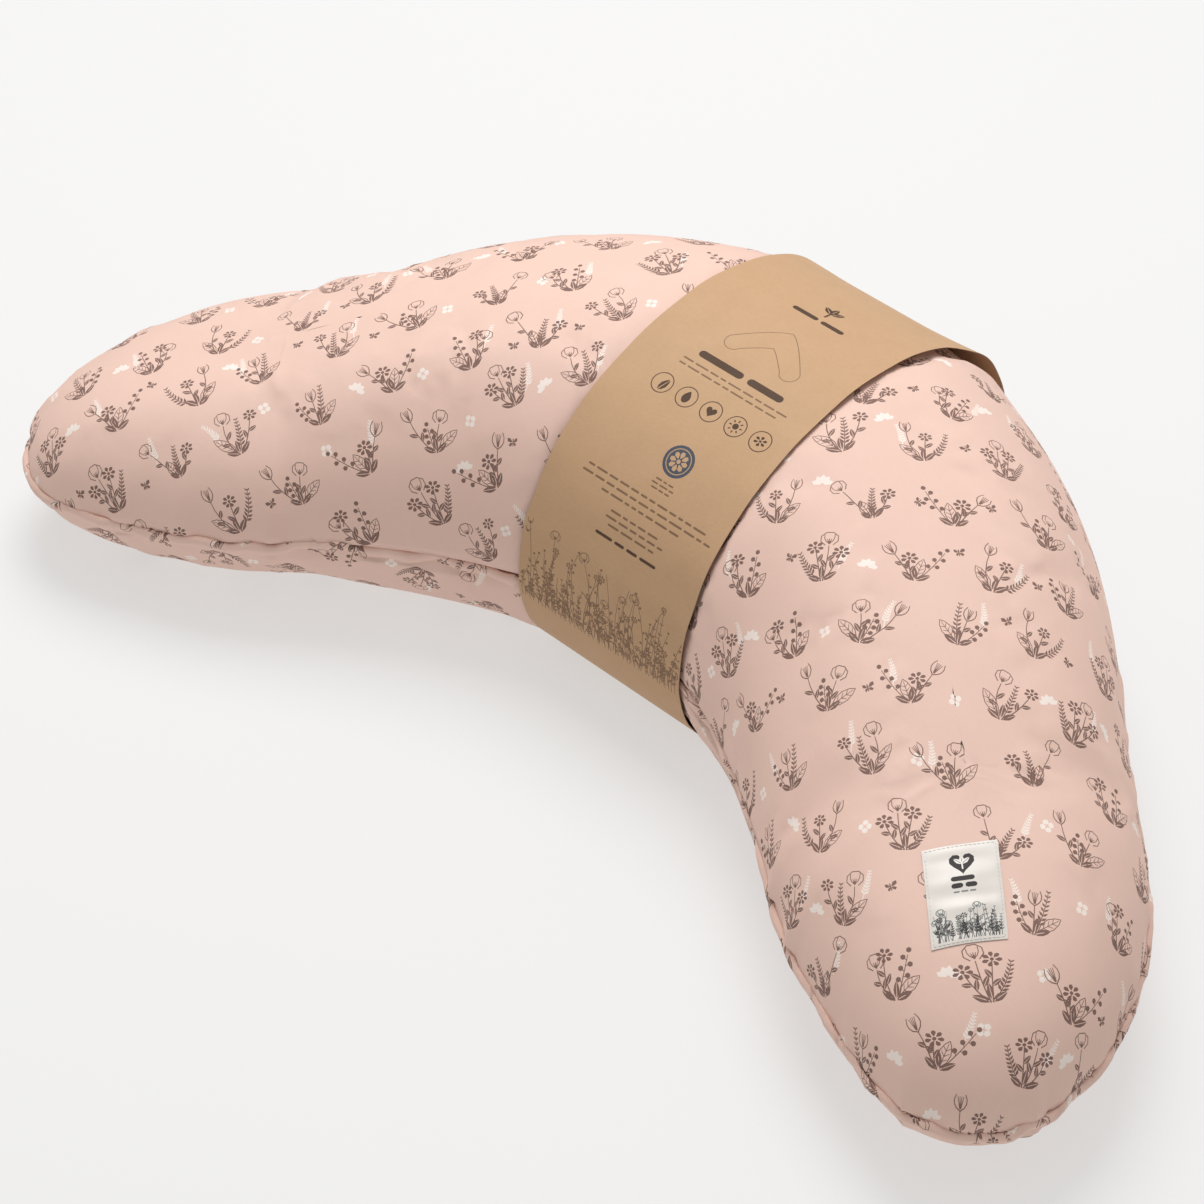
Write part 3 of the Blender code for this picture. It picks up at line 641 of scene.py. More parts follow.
LABEL_TINT = cotton("label_ink_tint", srgb(140, 142, 140), srgb(120, 122, 120), uv="", sheen=0.0)
METAL = moulded("zip_metal", srgb(206, 204, 202), tuple(c * 0.8 for c in srgb(206, 204, 202)),
                0.22, 0.25, 900.0, 4.0, 0.15, 1.0)
NYLON = moulded("zip_nylon", srgb(224, 184, 168), srgb(212, 170, 154), 0.42)
GLUE = moulded("glue", srgb(226, 218, 196), srgb(212, 202, 178), 0.5)


# ---- printed flowers, drawn as outlines on the flat cloth, in millimetres, upright ----
MM = 0.001


def curve(a, b, bow, count=5):
    """Points from a to b along an arc that bows to one side."""
    a, b = np.array(a, float), np.array(b, float)
    side = np.array((-(b - a)[1], (b - a)[0])) * bow
    t = np.linspace(0, 1, count)[:, None]
    return a + (b - a) * t + side * (4 * t * (1 - t)) * 0.5


def way(degrees):
    """A step of one, so many degrees from upright."""
    return np.array((sin(radians(degrees)), cos(radians(degrees))))


def disc(at, radius, count=20):
    a = np.linspace(0, 2 * pi, count, endpoint=False)
    return np.stack([at[0] + radius * np.sin(a), at[1] + radius * np.cos(a)], 1)


def stroke(points, wide, narrow=None):
    """A pen line round a run of points, thinner at its end."""
    points = np.asarray(points, float)
    narrow = wide if narrow is None else narrow
    run = np.gradient(points, axis=0)
    run /= np.maximum(np.linalg.norm(run, axis=1, keepdims=True), 1e-9)
    side = np.stack([-run[:, 1], run[:, 0]], 1)
    half = np.linspace(wide, narrow, len(points))[:, None] / 2
    return np.concatenate([points + side * half, (points - side * half)[::-1]])


def turned(points, degrees, at=(0, 0), size=1.0):
    c, s = cos(radians(degrees)), sin(radians(degrees))
    return np.asarray(points) * size @ np.array(((c, s), (-s, c))) + np.array(at)


def leaf(at, degrees, length, width):
    """Two halves either side of a bare midrib; degrees from upright."""
    t = np.array((0.0, 0.22, 0.50, 0.78, 1.0))
    bulge = np.array((0.06, 0.72, 1.0, 0.62, 0.05)) * width / 2
    gap = width * 0.07
    right = np.concatenate([np.stack([gap + bulge * 0.9, t * length], 1),
                            np.array(((gap * 0.5, length * 0.93), (gap, length * 0.04)))])
    left = right * (-1, 1)
    return [turned(right, -degrees, at), turned(left[::-1], -degrees, at)]


def veined(at, degrees, length, width):
    """A leaf outline with slanting veins."""
    t = np.array((0.0, 0.25, 0.55, 0.82, 1.0))
    bulge = np.array((0.0, 0.80, 1.0, 0.60, 0.0)) * width / 2
    sides = [np.stack([s * bulge, t * length], 1) for s in (1, -1)]
    out = [stroke(side, 0.55, 0.45) for side in sides]
    out.append(stroke(((0, 0), (0, length * 0.9)), 0.5, 0.35))
    out += [stroke(((0, spot * length), (s * width * 0.36, (spot + 0.15) * length)), 0.45, 0.3)
            for spot in (0.22, 0.42, 0.62) for s in (1, -1)]
    return [turned(p, -degrees, at) for p in out]


def daisy(at, radius, petals, spin=0.0, squash=0.8):
    """A blossom of separate petals round a ring and an eye."""
    petal = np.array(((-0.05, 0.34), (-0.26, 0.72), (-0.14, 1.0), (0.14, 1.0), (0.26, 0.72),
                      (0.05, 0.34))) * radius
    shapes = [turned(petal, 360 * k / petals + spin) for k in range(petals)]
    return [p * (1, squash) + np.array(at) for p in shapes + [disc((0, 0), radius * 0.24, 6)]]


def poppy(at, degrees, size):
    """A rounded open blossom: an outline, two inner petals and fine strokes from its heart."""
    t = np.linspace(0, 1, 8)
    rim = np.stack([size * 0.62 * np.sin(2 * pi * t * 0.86 - 0.86 * pi + pi),
                    size * 0.52 - size * 0.52 * np.cos(2 * pi * t * 0.86 - 0.86 * pi + pi)], 1)
    low = np.array((0, size * 0.12))
    out = [stroke(rim, 0.6)]
    out += [stroke(curve((0, size * 0.15), (s * size * 0.34, size * 0.86), s * -0.35, 4), 0.5, 0.45)
            for s in (1, -1)]
    out += [stroke((low, low + way(a) * size * 0.42), 0.9, 0.3) for a in (-22, 0, 22)]
    return [turned(p, -degrees, at) for p in out]


def tulip(at, degrees, size):
    """A closed bud of three hatched petals."""
    out = [turned(stroke(curve((0, 0), (0, size), bow, 5), 0.7, 0.5), -lean)
           for lean, bow in ((-16, 0.5), (16, -0.5))]
    out += [turned(stroke(((0, size * 0.12), (0, size * 0.86)), 0.55, 0.35), -lean)
            for lean in (-12, -4, 4, 12)]
    return [turned(p, -degrees, at) for p in out]


def on_line(points, share):
    place = share * (len(points) - 1)
    k = min(int(place), len(points) - 2)
    spot = points[k] + (points[k + 1] - points[k]) * (place - k)
    run = points[k + 1] - points[k]
    return spot, np.degrees(np.arctan2(run[0], run[1]))


def fern(base, tip, bow, pairs, reach):
    """A frond: a rib with small paired leaves that shorten towards its tip."""
    line = curve(base, tip, bow, 6)
    out = [stroke(line, 0.6, 0.4)]
    for k in range(pairs):
        share = 0.24 + 0.72 * k / (pairs - 1)
        spot, lean = on_line(line, share)
        size = reach * (1 - 0.55 * share)
        for s in (1, -1):
            blade = np.array(((0, 0), (0.21, 0.50), (0.0, 1.05), (-0.21, 0.50))) * size
            out.append(turned(blade, -(lean + s * 46), spot))
    return out


def berries(base, tip, bow, count, size):
    line = curve(base, tip, bow, 5)
    out = [stroke(line, 0.6, 0.4)]
    for k in range(count):
        share = 0.38 + 0.62 * k / (count - 1)
        spot, lean = on_line(line, share)
        side = 0 if k == count - 1 else (1 if k % 2 else -1)
        away = spot + size * 1.7 * way(lean + side * 60)
        if side:
            out.append(stroke((spot, away), 0.45, 0.4))
        out.append(disc(away, size, 6))
    return out


def bloom_stem(draw, base, tip, bow, kind):
    """One flower on its stem, with a pair of small leaves on the way."""
    line = curve(base, tip, bow, 6)
    out = [stroke(line, 0.75, 0.5)]
    end, lean = on_line(line, 1.0)
    if kind == "daisy":
        out += daisy(end, draw.uniform(4.3, 5.2), 7, draw.uniform(0, 50))
    elif kind == "poppy":
        out += poppy(end, lean, draw.uniform(8.2, 9.4))
    else:
        out += tulip(end, lean, draw.uniform(8.6, 10.0))
    for share, s in ((0.38, 1), (0.56, -1)):
        spot, lean = on_line(line, share)
        out += leaf(spot, lean + s * draw.uniform(36, 50), draw.uniform(5.0, 6.5), 2.6)
    return out


PARTS = (("daisy", "fern", "poppy", "leaf"), ("poppy", "daisy", "berries", "leaf"),
         ("fern", "daisy", "tulip", "leaf"), ("tulip", "berries", "poppy", "leaf"),
         ("daisy", "poppy", "daisy", "fern"), ("berries", "tulip", "fern", "leaf"),
         ("poppy", "leaf", "fern", "daisy"), ("tulip", "daisy", "leaf", "berries"))


def bouquet(number):
    """A posy of three or four sprigs that spring from one point."""
    draw = np.random.default_rng(100 + number)
    parts = PARTS[number]
    out = []
    fan = np.linspace(-34, 34, len(parts)) + draw.uniform(-5, 5, len(parts))
    tall = draw.uniform(15, 25, len(parts))
    for kind, lean, height in zip(parts, fan, tall):
        base = np.array((0.06 * lean, -15.0 + abs(lean) * 0.05))
        tip = base + height * way(lean)
        bow = draw.uniform(-0.10, 0.22) * (1 if lean < 0 else -1)
        if kind == "fern":
            out += fern(base, tip + (tip - base) * 0.15, bow, 8, 4.6)
        elif kind == "berries":
            out += berries(base, tip, bow, 6, 1.5)
        elif kind == "leaf":
            out += veined(base + (0, 1.5), lean * 1.4, height * 0.75, 6.5)
        else:
            out += bloom_stem(draw, base, tip, bow, kind)
    for side in (-1, 1):
        out += leaf((side * 0.6, -14.0), side * draw.uniform(48, 68), draw.uniform(7.5, 9.5), 3.6)
    out += leaf((0.3, -13.0), draw.uniform(-10, 10), 8.5, 3.2)
    return out


def moth(size):
    """A small butterfly seen from the side."""
    wing = np.array(((0.3, 0.2), (1.6, 1.9), (3.1, 2.0), (3.0, 0.5), (1.4, -0.1)))
    low = np.array(((0.3, -0.2), (1.6, -0.4), (2.4, -1.3), (1.5, -2.1), (0.5, -1.2)))
    body = np.array(((-0.25, -1.9), (0.25, -1.9), (0.3, 1.6), (-0.3, 1.6)))
    return [p * size for p in (wing, low, wing * (-0.7, 0.9), low * (-0.7, 0.9), body)]


def petals_four(size):
    petal = ((0.0, 0.25), (-0.62, 0.62), (-0.45, 1.25), (0.05, 1.38), (0.5, 1.2), (0.6, 0.6))
    return [turned(petal, 90 * k + 12) * size for k in range(4)]


def fan_flower(size):
    """A nodding half-round blossom."""
    petal = ((0.06, 0.2), (0.30, 0.9), (0.0, 1.25), (-0.30, 0.9), (-0.06, 0.2))
    return [turned(petal, -72 + 36 * k) * size for k in range(5)]


def white_sprig(draw):
    """A pale frond with a few small buds."""
    return fern((0, -9), (draw.uniform(-3, 3), 10), draw.uniform(-0.2, 0.2), 8, 4.2)


RIGHT = np.array((0.72, 0.69))       # the print's own axes on the flat cloth
UP = np.array((-0.69, 0.72))
CELL = (53.0, 44.0)
WHITE_SHARE = 0.42                   # of the posies have a white sprig beside them


def print_layout(seed, low, high):
    """Motifs over the flat cloth: (ink, outline) pairs in millimetres, ink 1 brown, 2 white."""
    draw = np.random.default_rng(seed)
    corners = np.array([(x, y) for x in (low[0], high[0]) for y in (low[1], high[1])])
    across, along = corners @ RIGHT, corners @ UP
    out = []
    rows = range(int(along.min() // CELL[1]) - 1, int(along.max() // CELL[1]) + 2)
    cols = range(int(across.min() // CELL[0]) - 1, int(across.max() // CELL[0]) + 2)
    posies = [bouquet(k) for k in range(len(PARTS))]

    def place(ink, shapes, spot, tilt, flip=1, size=1.0):
        for shape in shapes:
            local = turned(shape * (flip, 1), tilt, size=size)
            out.append((ink, (spot[0] + local[:, :1]) * RIGHT + (spot[1] + local[:, 1:]) * UP))

    for j in rows:
        for i in cols:
            spot = np.array(((i + 0.5 * (j % 2)) * CELL[0], j * CELL[1]))
            spot = spot + draw.uniform(-5, 5, 2)
            kind = (3 * i + 5 * j + (i * j) % 3) % len(posies)
            place(1, posies[kind], spot, draw.uniform(-15, 15), draw.choice((-1, 1)),
                  draw.uniform(1.0, 1.14))
            if draw.random() < WHITE_SHARE:
                side = draw.choice((-1, 1))
                place(2, white_sprig(draw), spot + (side * 13, draw.uniform(0, 9)),
                      side * draw.uniform(-22, -6))
            corner = spot + (CELL[0] / 2 + draw.uniform(-5, 5), draw.uniform(-12, 12))
            pick = draw.random()
            if pick < 0.30:
                place(1, moth(1.35), corner, draw.uniform(-40, 40), draw.choice((-1, 1)))
            elif pick < 0.58:
                place(2, petals_four(3.1), corner, draw.uniform(0, 90))
            elif pick < 0.80:
                place(2, fan_flower(5.6), corner, draw.uniform(-50, 50))
    return [(ink, shape) for wanted in (2, 1) for ink, shape in out if ink == wanted]


def inside(points, outline):
    """True where points lie inside an outline, its overlaps included (winding number)."""
    x, y = points[:, 0], points[:, 1]
    turns = np.zeros(len(points), int)
    for (ax, ay), (bx, by) in zip(outline, np.roll(outline, -1, 0)):
        left = (bx - ax) * (y - ay) - (x - ax) * (by - ay)
        turns += (ay <= y) & (by > y) & (left > 0)
        turns -= (ay > y) & (by <= y) & (left < 0)
    return turns != 0


SPARSE_FROM = 14          # the ring from which every other row is left out
OFF_CLOTH = 6.0           # mm; an outline whose middle is farther off the cloth isn't drawn
HIDDEN_IN = 0.022         # the band hides what lies this far inside its edges


def face_turns(points, faces):
    """Each face's normal, as long as twice its area."""
    a, b, c = (points[faces[:, k]] for k in range(3))
    return np.cross(b - a, c - a)


def printed_piece(name, grid, flat, shapes, materials, away, closed=True, thick=0.0):
    """Cloth or paper cut along its printed outlines: one mesh, with a material slot per ink."""
    first, number = joined(grid)
    solid = grid.reshape(-1, 3)[first]
    spots = flat.reshape(-1, 2)[first] / MM
    rows, rings = number.shape
    quads = strips(number, closed)
    halves = np.concatenate([quads[:, (0, 1, 2)], quads[:, (0, 2, 3)]])
    halves = halves[(halves[:, 0] != halves[:, 1]) & (halves[:, 1] != halves[:, 2])
                    & (halves[:, 0] != halves[:, 2])]
    normal = np.zeros_like(solid)
    turn = face_turns(solid, halves)
    for k in range(3):
        np.add.at(normal, halves[:, k], turn)
    up = 1 if (normal * np.broadcast_to(away, grid.shape).reshape(-1, 3)[first]).sum() > 0 else -1
    normal = unit(normal) * up
    tree = BVHTree.FromPolygons([(x, y, 0.0) for x, y in spots.tolist()], halves.tolist())
    if closed:
        loop = number[:, 0].tolist()
    else:
        loop = (number[0, :-1].tolist() + number[:-1, -1].tolist() + number[-1, :0:-1].tolist()
                + number[:0:-1, 0].tolist())
    spare = np.zeros(len(spots), bool)
    if closed:                                         # away from the seam fewer points will do
        spare[number[1::2, SPARSE_FROM:-1]] = True
        spare[number[::2, 2 * SPARSE_FROM:-1:2]] = True
    points = [Vector(p) for p in spots[~spare].tolist()]
    kept = (np.cumsum(~spare) - 1)[loop].tolist()
    edges = list(zip(kept, kept[1:] + kept[:1]))
    drawn = []
    for ink, outline in shapes:
        outline = np.asarray(outline)
        middle = outline.mean(0)
        if closed and tree.find_nearest((*middle, 0))[3] > OFF_CLOTH:
            continue
        base = len(points)
        points += [Vector(p) for p in outline.tolist()]
        edges += [(base + k, base + (k + 1) % len(outline)) for k in range(len(outline))]
        drawn.append((ink, outline))
    verts, _, faces, _, _, _ = delaunay_2d_cdt(points, edges, [], 0, 1e-5)
    verts = np.array([tuple(v) for v in verts])
    faces = np.array([f for f in faces if len(f) == 3])
    centre = verts[faces].mean(1)
    order = np.argsort(centre[:, 0])
    sorted_x = centre[order, 0]
    ink_of = np.zeros(len(faces), np.int32)
    for ink, outline in drawn:
        lo, hi = outline.min(0), outline.max(0)
        a, b = np.searchsorted(sorted_x, (lo[0], hi[0]))
        pick = order[a:b]
        pick = pick[(centre[pick, 1] >= lo[1]) & (centre[pick, 1] <= hi[1])]
        if len(pick):
            ink_of[pick[inside(centre[pick], outline)]] = ink
    on_it = np.array([tree.ray_cast((x, y, 9), (0, 0, -1))[0] is not None
                      for x, y in centre.tolist()])
    faces, ink_of = faces[on_it], ink_of[on_it]
    used, index = np.unique(faces, return_inverse=True)
    faces, verts = index.reshape(-1, 3), verts[used]
    which = np.empty(len(verts), int)
    for k, (x, y) in enumerate(verts.tolist()):
        hit = tree.ray_cast((x, y, 9), (0, 0, -1))
        which[k] = tree.find_nearest((x, y, 0))[2] if hit[0] is None else hit[2]
    a, b, c = (spots[halves[which, k]] for k in range(3))
    (abx, aby), (acx, acy), (apx, apy) = (b - a).T, (c - a).T, (verts - a).T
    area = abx * acy - acx * aby
    wb, wc = (apx * acy - acx * apy) / area, (abx * apy - apx * aby) / area
    share = np.clip(np.stack([1 - wb - wc, wb, wc], 1), 0, 1)
    share /= share.sum(1, keepdims=True)
    place = (solid[halves[which]] * share[..., None]).sum(1)
    lean = unit((normal[halves[which]] * share[..., None]).sum(1))
    turn = face_turns(place, faces)
    keep = np.linalg.norm(turn, axis=1) > 1e-12
    faces, ink_of, turn = faces[keep], ink_of[keep], turn[keep]
    flip = (turn * lean[faces].sum(1)).sum(1) < 0
    faces[flip] = faces[flip][:, ::-1]
    if thick:                                          # a plain back, joined round the rim
        count = len(place)
        rim = np.array(loop)
        back = solid - normal * thick
        back_faces = halves[:, ::-1] if up > 0 else halves
        front = count + len(solid) + np.arange(len(rim))
        place = np.concatenate([place, back, solid[rim]])
        lean = np.concatenate([lean, -normal, normal[rim]])
        verts = np.concatenate([verts, spots, spots[rim]])
        near, far = count + rim, count + np.roll(rim, -1)
        ahead = np.roll(front, -1)
        sides = np.concatenate([np.stack([front, near, ahead], 1), np.stack([ahead, near, far], 1)])
        if up < 0:
            sides = sides[:, ::-1]
        faces = np.concatenate([faces, count + back_faces, sides])
        ink_of = np.concatenate([ink_of, np.zeros(len(back_faces) + len(sides), np.int32)])
    obj = new_object(name, place.tolist(), faces.tolist(), materials)
    data = obj.data
    data.polygons.foreach_set("material_index", ink_of)
    layer = data.uv_layers.new(name="flat")
    layer.data.foreach_set("uv", (verts[faces.ravel()] * MM).astype(np.float32).ravel())
    data.normals_split_custom_set_from_vertices(lean.tolist())
    data.update()
    return obj


def print_on(grid, flat, seed):
    """The floral print for one panel; nothing is drawn where the paper band hides it."""
    first, _ = joined(grid)
    spots, solid = flat.reshape(-1, 2)[first] / MM, grid.reshape(-1, 3)[first]
    hidden = spots[np.abs(solid[:, 0]) < SLEEVE_HALF - HIDDEN_IN]
    lo, hi = hidden.min(0), hidden.max(0)
    shapes = []
    for ink, outline in print_layout(seed, spots.min(0), spots.max(0)):
        middle = outline.mean(0)
        if (lo < middle).all() and (middle < hi).all():
            if np.hypot(*(hidden - middle).T).min() < 4.5:
                continue
        shapes.append((ink, outline))
    return shapes


cover_top = printed_piece("cover_top", top_full, top_flat, print_on(top_full, top_flat, 5),
                          [COTTON, INK, INK_WHITE], (0, 0, 1))
cover_base = printed_piece("cover_base", base_full, base_flat, print_on(base_full, base_flat, 6),
                           [COTTON, INK, INK_WHITE], (0, 0, -1))


# ---- the paper band, laid round the cushion like a tight ring ----
SLEEVE_SLACK = 0.0010
UNDER_SLACK = 0.0003
PAPER = 0.0004
SLEEVE_LAP = 0.025
LAP_STEP = 0.0008
CLEAR = 0.0003            # more room where the cushion curves
CURL = 0.0007             # the paper's edges stand off the cloth
BACK_RIGHT, BACK_LEFT, FRONT = 0.0032, 0.0014, 0.0010
ROUND_STEPS = 300
ACROSS_STEPS = 28


def reached(grid):
    """Where the cover's threads lie under the band: (y, z) of its points and of its edges."""
    out = [grid[np.abs(grid[..., 0]) <= SLEEVE_HALF][:, 1:]]
    for near, far in ((grid, np.roll(grid, -1, 0)), (grid[:, :-1], grid[:, 1:])):
        for x in (-SLEEVE_HALF, SLEEVE_HALF):
            cut = (near[..., 0] - x) * (far[..., 0] - x) < 0
            p, q = near[cut], far[cut]
            out.append((p + (q - p) * ((x - p[:, :1]) / (q[:, :1] - p[:, :1])))[:, 1:])
    spots = np.concatenate(out)
    return np.unique(np.round(np.column_stack([spots[:, 0], np.maximum(spots[:, 1], RECESS)]), 6),
                     axis=0)


def hull(points):
    """Convex outline of sorted (y, z) points, anticlockwise."""
    def half(sequence):
        chain = []
        for p in sequence:
            while len(chain) > 1:
                (ay, az), (by, bz) = chain[-2], chain[-1]
                if (by - ay) * (p[1] - az) - (bz - az) * (p[0] - ay) > 0:
                    break
                chain.pop()
            chain.append(p)
        return chain[:-1]

    points = points.tolist()
    return np.array(half(points) + half(points[::-1]))


around = np.concatenate([reached(top_full), reached(base_full)])
around = hull(around[np.lexsort((around[:, 1], around[:, 0]))])
around = np.vstack([around, around[:1]])
length = distances(around)
under = around[around[:, 1] < RECESS + 1e-5]
middle_y = (under[:, 0].min() + under[:, 0].max()) / 2
even = np.linspace(0, length[-1], ROUND_STEPS + 1)[:-1]
ring = picked(around, length, even)
for _ in range(3):                                     # paper doesn't follow small corners
    ring = 0.25 * np.roll(ring, 1, 0) + 0.5 * ring + 0.25 * np.roll(ring, -1, 0)
ahead = unit(np.roll(ring, -1, 0) - np.roll(ring, 1, 0))
level = smooth(0.0025, 0.012, ring[:, 1])
slack = UNDER_SLACK + (SLEEVE_SLACK + CLEAR - UNDER_SLACK) * level
ring = ring + np.stack([ahead[:, 1], -ahead[:, 0]], 1) * slack[:, None]
ring[:, 1] = np.maximum(ring[:, 1], RECESS - UNDER_SLACK)
start = np.argmin(np.abs(ring[:, 0] - middle_y) + 9 * (ring[:, 1] > 0.004))
ring = np.roll(ring, -start, 0)[::-1]                  # clockwise: to -Y, up and over, down at +Y
ring = np.roll(ring, 1, 0)
lap = np.linspace(0, SLEEVE_LAP, 9)
low = RECESS - UNDER_SLACK - LAP_STEP * smooth(-0.3, 0.4, lap / SLEEVE_LAP)
lap_line = np.stack([ring[0, 0] - lap, low], 1)
band = np.vstack([ring, lap_line])
band_run = distances(band)

across = np.linspace(-SLEEVE_HALF, SLEEVE_HALF, ACROSS_STEPS + 1)
band_ahead = unit(np.gradient(band, axis=0))
band_out = np.stack([-band_ahead[:, 1], band_ahead[:, 0]], 1)
if (band_out * (band - band.mean(0))).sum() < 0:
    band_out = -band_out
side = across / SLEEVE_HALF
high = smooth(0.03, 0.12, band[:, 1])
back = smooth(0.55, 0.62, band_run) * (1 - smooth(0.70, 0.78, band_run))
front = smooth(0.20, 0.26, band_run) * (1 - smooth(0.34, 0.42, band_run))
draw = np.random.default_rng(8)
ripple = sum(np.sin(2 * pi * (band_run[:, None] / size + draw.uniform() + 0.15 * side[None, :]))
             for size in (0.110, 0.074, 0.051)) / 3
edge = np.abs(side)[None, :] ** 6
stand = (CLEAR + CURL * (1 + ripple) * high[:, None] * edge
         + BACK_RIGHT * back[:, None] * smooth(0.35, 1.0, side)[None, :]
         + BACK_LEFT * back[:, None] * smooth(0.5, 1.0, -side)[None, :]
         + FRONT * front[:, None] * edge)
stand = stand * smooth(0.004, 0.03, band[:, 1])[:, None]
sleeve_grid = np.concatenate([
    np.broadcast_to(across[None, :, None], (len(band), ACROSS_STEPS + 1, 1)),
    band[:, None] + band_out[:, None] * (stand + PAPER)[..., None]], 2)
sleeve_grid[..., 2] = np.maximum(sleeve_grid[..., 2], 0.00002)
sleeve_flat = np.stack(np.broadcast_arrays(across[None, :], band_run[:, None]), 2)


# ---- generic print on the band: a sprig, plain bars for words, signs and a meadow ----
def hoop(at, radius, wide, count=24):
    """A circle line, in two halves."""
    out = []
    for begin in (0, pi):
        a = np.linspace(begin - 0.02, begin + pi + 0.02, count // 2 + 1)
        out.append(stroke(np.stack([np.sin(a), np.cos(a)], 1) * radius + np.array(at), wide))
    return out


def inked(ink, outlines):
    return [(ink, outline) for outline in outlines]


def bar(x, y, length, tall):
    """A round-ended bar that stands for a word."""
    r = tall / 2
    a = np.linspace(-pi / 2, pi / 2, 5)
    ends = ((x + length - r, 1), (x + r, -1))
    return np.concatenate([np.stack([at + s * r * np.cos(a), y + s * r * np.sin(a)], 1)
                           for at, s in ends])


def bars(draw, centre, y, length, tall, shortest=4.0, longest=11.0, gap=1.6):
    """A line of bars, centred, like greeked text."""
    out, x, end = [], centre - length / 2, centre + length / 2
    while x < end - shortest:
        size = min(draw.uniform(shortest, longest), end - x)
        out.append(bar(x, y, size, tall))
        x += size + gap
    return out


def sprig_mark(at, size):
    """Three plain leaves over a short stem: a mark of no one's."""
    out = [stroke(np.array(((0, -0.55), (0, 0.1))) * size + at, 0.11 * size)]
    for lean in (-52, 0, 52):
        out += leaf(np.array(at) + (0, -0.08 * size), lean, 0.72 * size, 0.34 * size)
    return out


def heart(at, size):
    t = np.linspace(0, 2 * pi, 18, endpoint=False)
    shape = np.stack([16 * np.sin(t) ** 3, 13 * np.cos(t) - 5 * np.cos(2 * t) - 2 * np.cos(3 * t)
                      - np.cos(4 * t)], 1)
    return [shape / 34 * size + np.array(at)]


def drop(at, size):
    t = np.linspace(0, 2 * pi, 14, endpoint=False)
    return [np.stack([0.34 * np.sin(t) * (1 - 0.55 * np.maximum(np.cos(t), 0)),
                      0.5 * np.cos(t)], 1) * size + np.array(at)]


def sun(at, size):
    return [disc(at, 0.22 * size, 12)] + [
        stroke(np.outer((0.32, 0.5), way(45 * k)) * size + np.array(at), 0.09 * size)
        for k in range(8)]


def meadow(draw, left, right, floor, tall, stems, scale=1.0):
    """A border of grasses and flowers that grow from one line."""
    out = []
    for x in np.linspace(left, right, stems) + draw.uniform(-1.2, 1.2, stems):
        height = tall * draw.uniform(0.35, 1.0)
        lean = draw.uniform(-0.22, 0.22)
        base, tip = (x, floor), (x + lean * height, floor + height)
        pick = draw.random()
        if pick < 0.24:
            out += fern(base, tip, draw.uniform(-0.15, 0.15), 6, 4.0 * scale)
            continue
        if pick < 0.42:
            out += berries(base, tip, draw.uniform(-0.2, 0.2), 5, 1.0 * scale)
            continue
        line = curve(base, tip, draw.uniform(-0.2, 0.2), 5)
        out.append(stroke(line, 0.55 * scale, 0.4 * scale))
        end, turn = on_line(line, 1.0)
        if pick < 0.62:
            out += daisy(end, draw.uniform(2.4, 3.6) * scale, 7, draw.uniform(0, 50))
        elif pick < 0.78:
            out += poppy(end, turn, draw.uniform(5.0, 7.0) * scale)
        for share in (0.3, 0.5):
            spot, turn = on_line(line, share)
            out += leaf(spot, turn + draw.choice((-1, 1)) * draw.uniform(30, 50),
                        draw.uniform(4, 7) * scale, 1.9 * scale)
    return out


def chevron(at, wide, tall, line):
    """The outline of a bent cushion."""
    t = np.linspace(0, 1, 9)
    out = []
    for s in (-1, 1):
        outer = np.stack([s * wide * 0.47 * t, tall * (0.42 - 0.80 * t ** 1.25)], 1)
        inner = np.stack([s * wide * 0.27 * t, tall * (-0.14 - 0.40 * t ** 1.15)], 1)
        a, b = outer[-1], inner[-1]
        mid, r = (a + b) / 2, np.linalg.norm(a - b) / 2
        sweep = np.arctan2(*(a - mid)[::-1]) - s * np.linspace(0, pi, 9)
        round_end = mid + r * np.stack([np.cos(sweep), np.sin(sweep)], 1)
        out += [stroke(part + at, line) for part in (outer, inner, round_end)]
    return out


def bar_rows(draw, rows, *sizes):
    """Lines of bars; a row is its ink, middle, height, length and the bars' thickness."""
    return [shape for ink, *row in rows for shape in inked(ink, bars(draw, *row, *sizes))]


draw = np.random.default_rng(21)
shapes = inked(1, sprig_mark((6, 501), 13.5))
shapes += bar_rows(draw, ((1, 6, 487.5, 42, 4.0),), 17, 22, 2.5)
shapes += inked(3, chevron(np.array((6, 449)), 62, 34, 0.55))
shapes += bar_rows(draw, ((1, 8, 413.5, 74, 5.4),), 28, 40, 4.0)
shapes += bar_rows(draw, ((3, 8, 405.0, 86, 1.3), (3, 8, 400.6, 86, 1.3)))
for k, sign in enumerate((leaf((-33, 376.5), 20, 10, 5.0), drop((-12.5, 382), 9),
                          heart((8, 382), 8.5), sun((28.5, 382), 10),
                          daisy((49, 382), 4.6, 6))):
    shapes += inked(1, hoop((-33 + 20.5 * k, 382), 7.4, 0.7) + sign)
shapes.append((2, disc((12, 344), 11.0, 28)))
shapes += inked(0, hoop((12, 344), 8.6, 0.6) + daisy((12, 344), 6.6, 8, 0, 1.0))
shapes += bar_rows(draw, ((3, 12, 328.5, 15, 1.2), (3, 12, 325.5, 18, 1.2),
                          (3, 12, 322.5, 15, 1.2)), 3, 8, 1.0)
shapes += bar_rows(draw, ((3, 9, 314.5, 104, 1.5), (3, 9, 309.5, 108, 1.5), (3, 9, 304.5, 70, 1.5),
                          (3, 9, 296, 44, 1.5), (3, 9, 291.5, 48, 1.5), (3, 9, 287, 40, 1.5)))
shapes += bar_rows(draw, ((1, 9, 279, 54, 2.1),), 8, 16, 2.0)
shapes += inked(3, meadow(draw, -66, 66, 203, 56, 58) + meadow(draw, -67, 67, 200, 28, 42))
shapes = [(ink, p) for ink, p in shapes if np.abs(p[:, 0]).max() < SLEEVE_HALF / MM - 0.6]
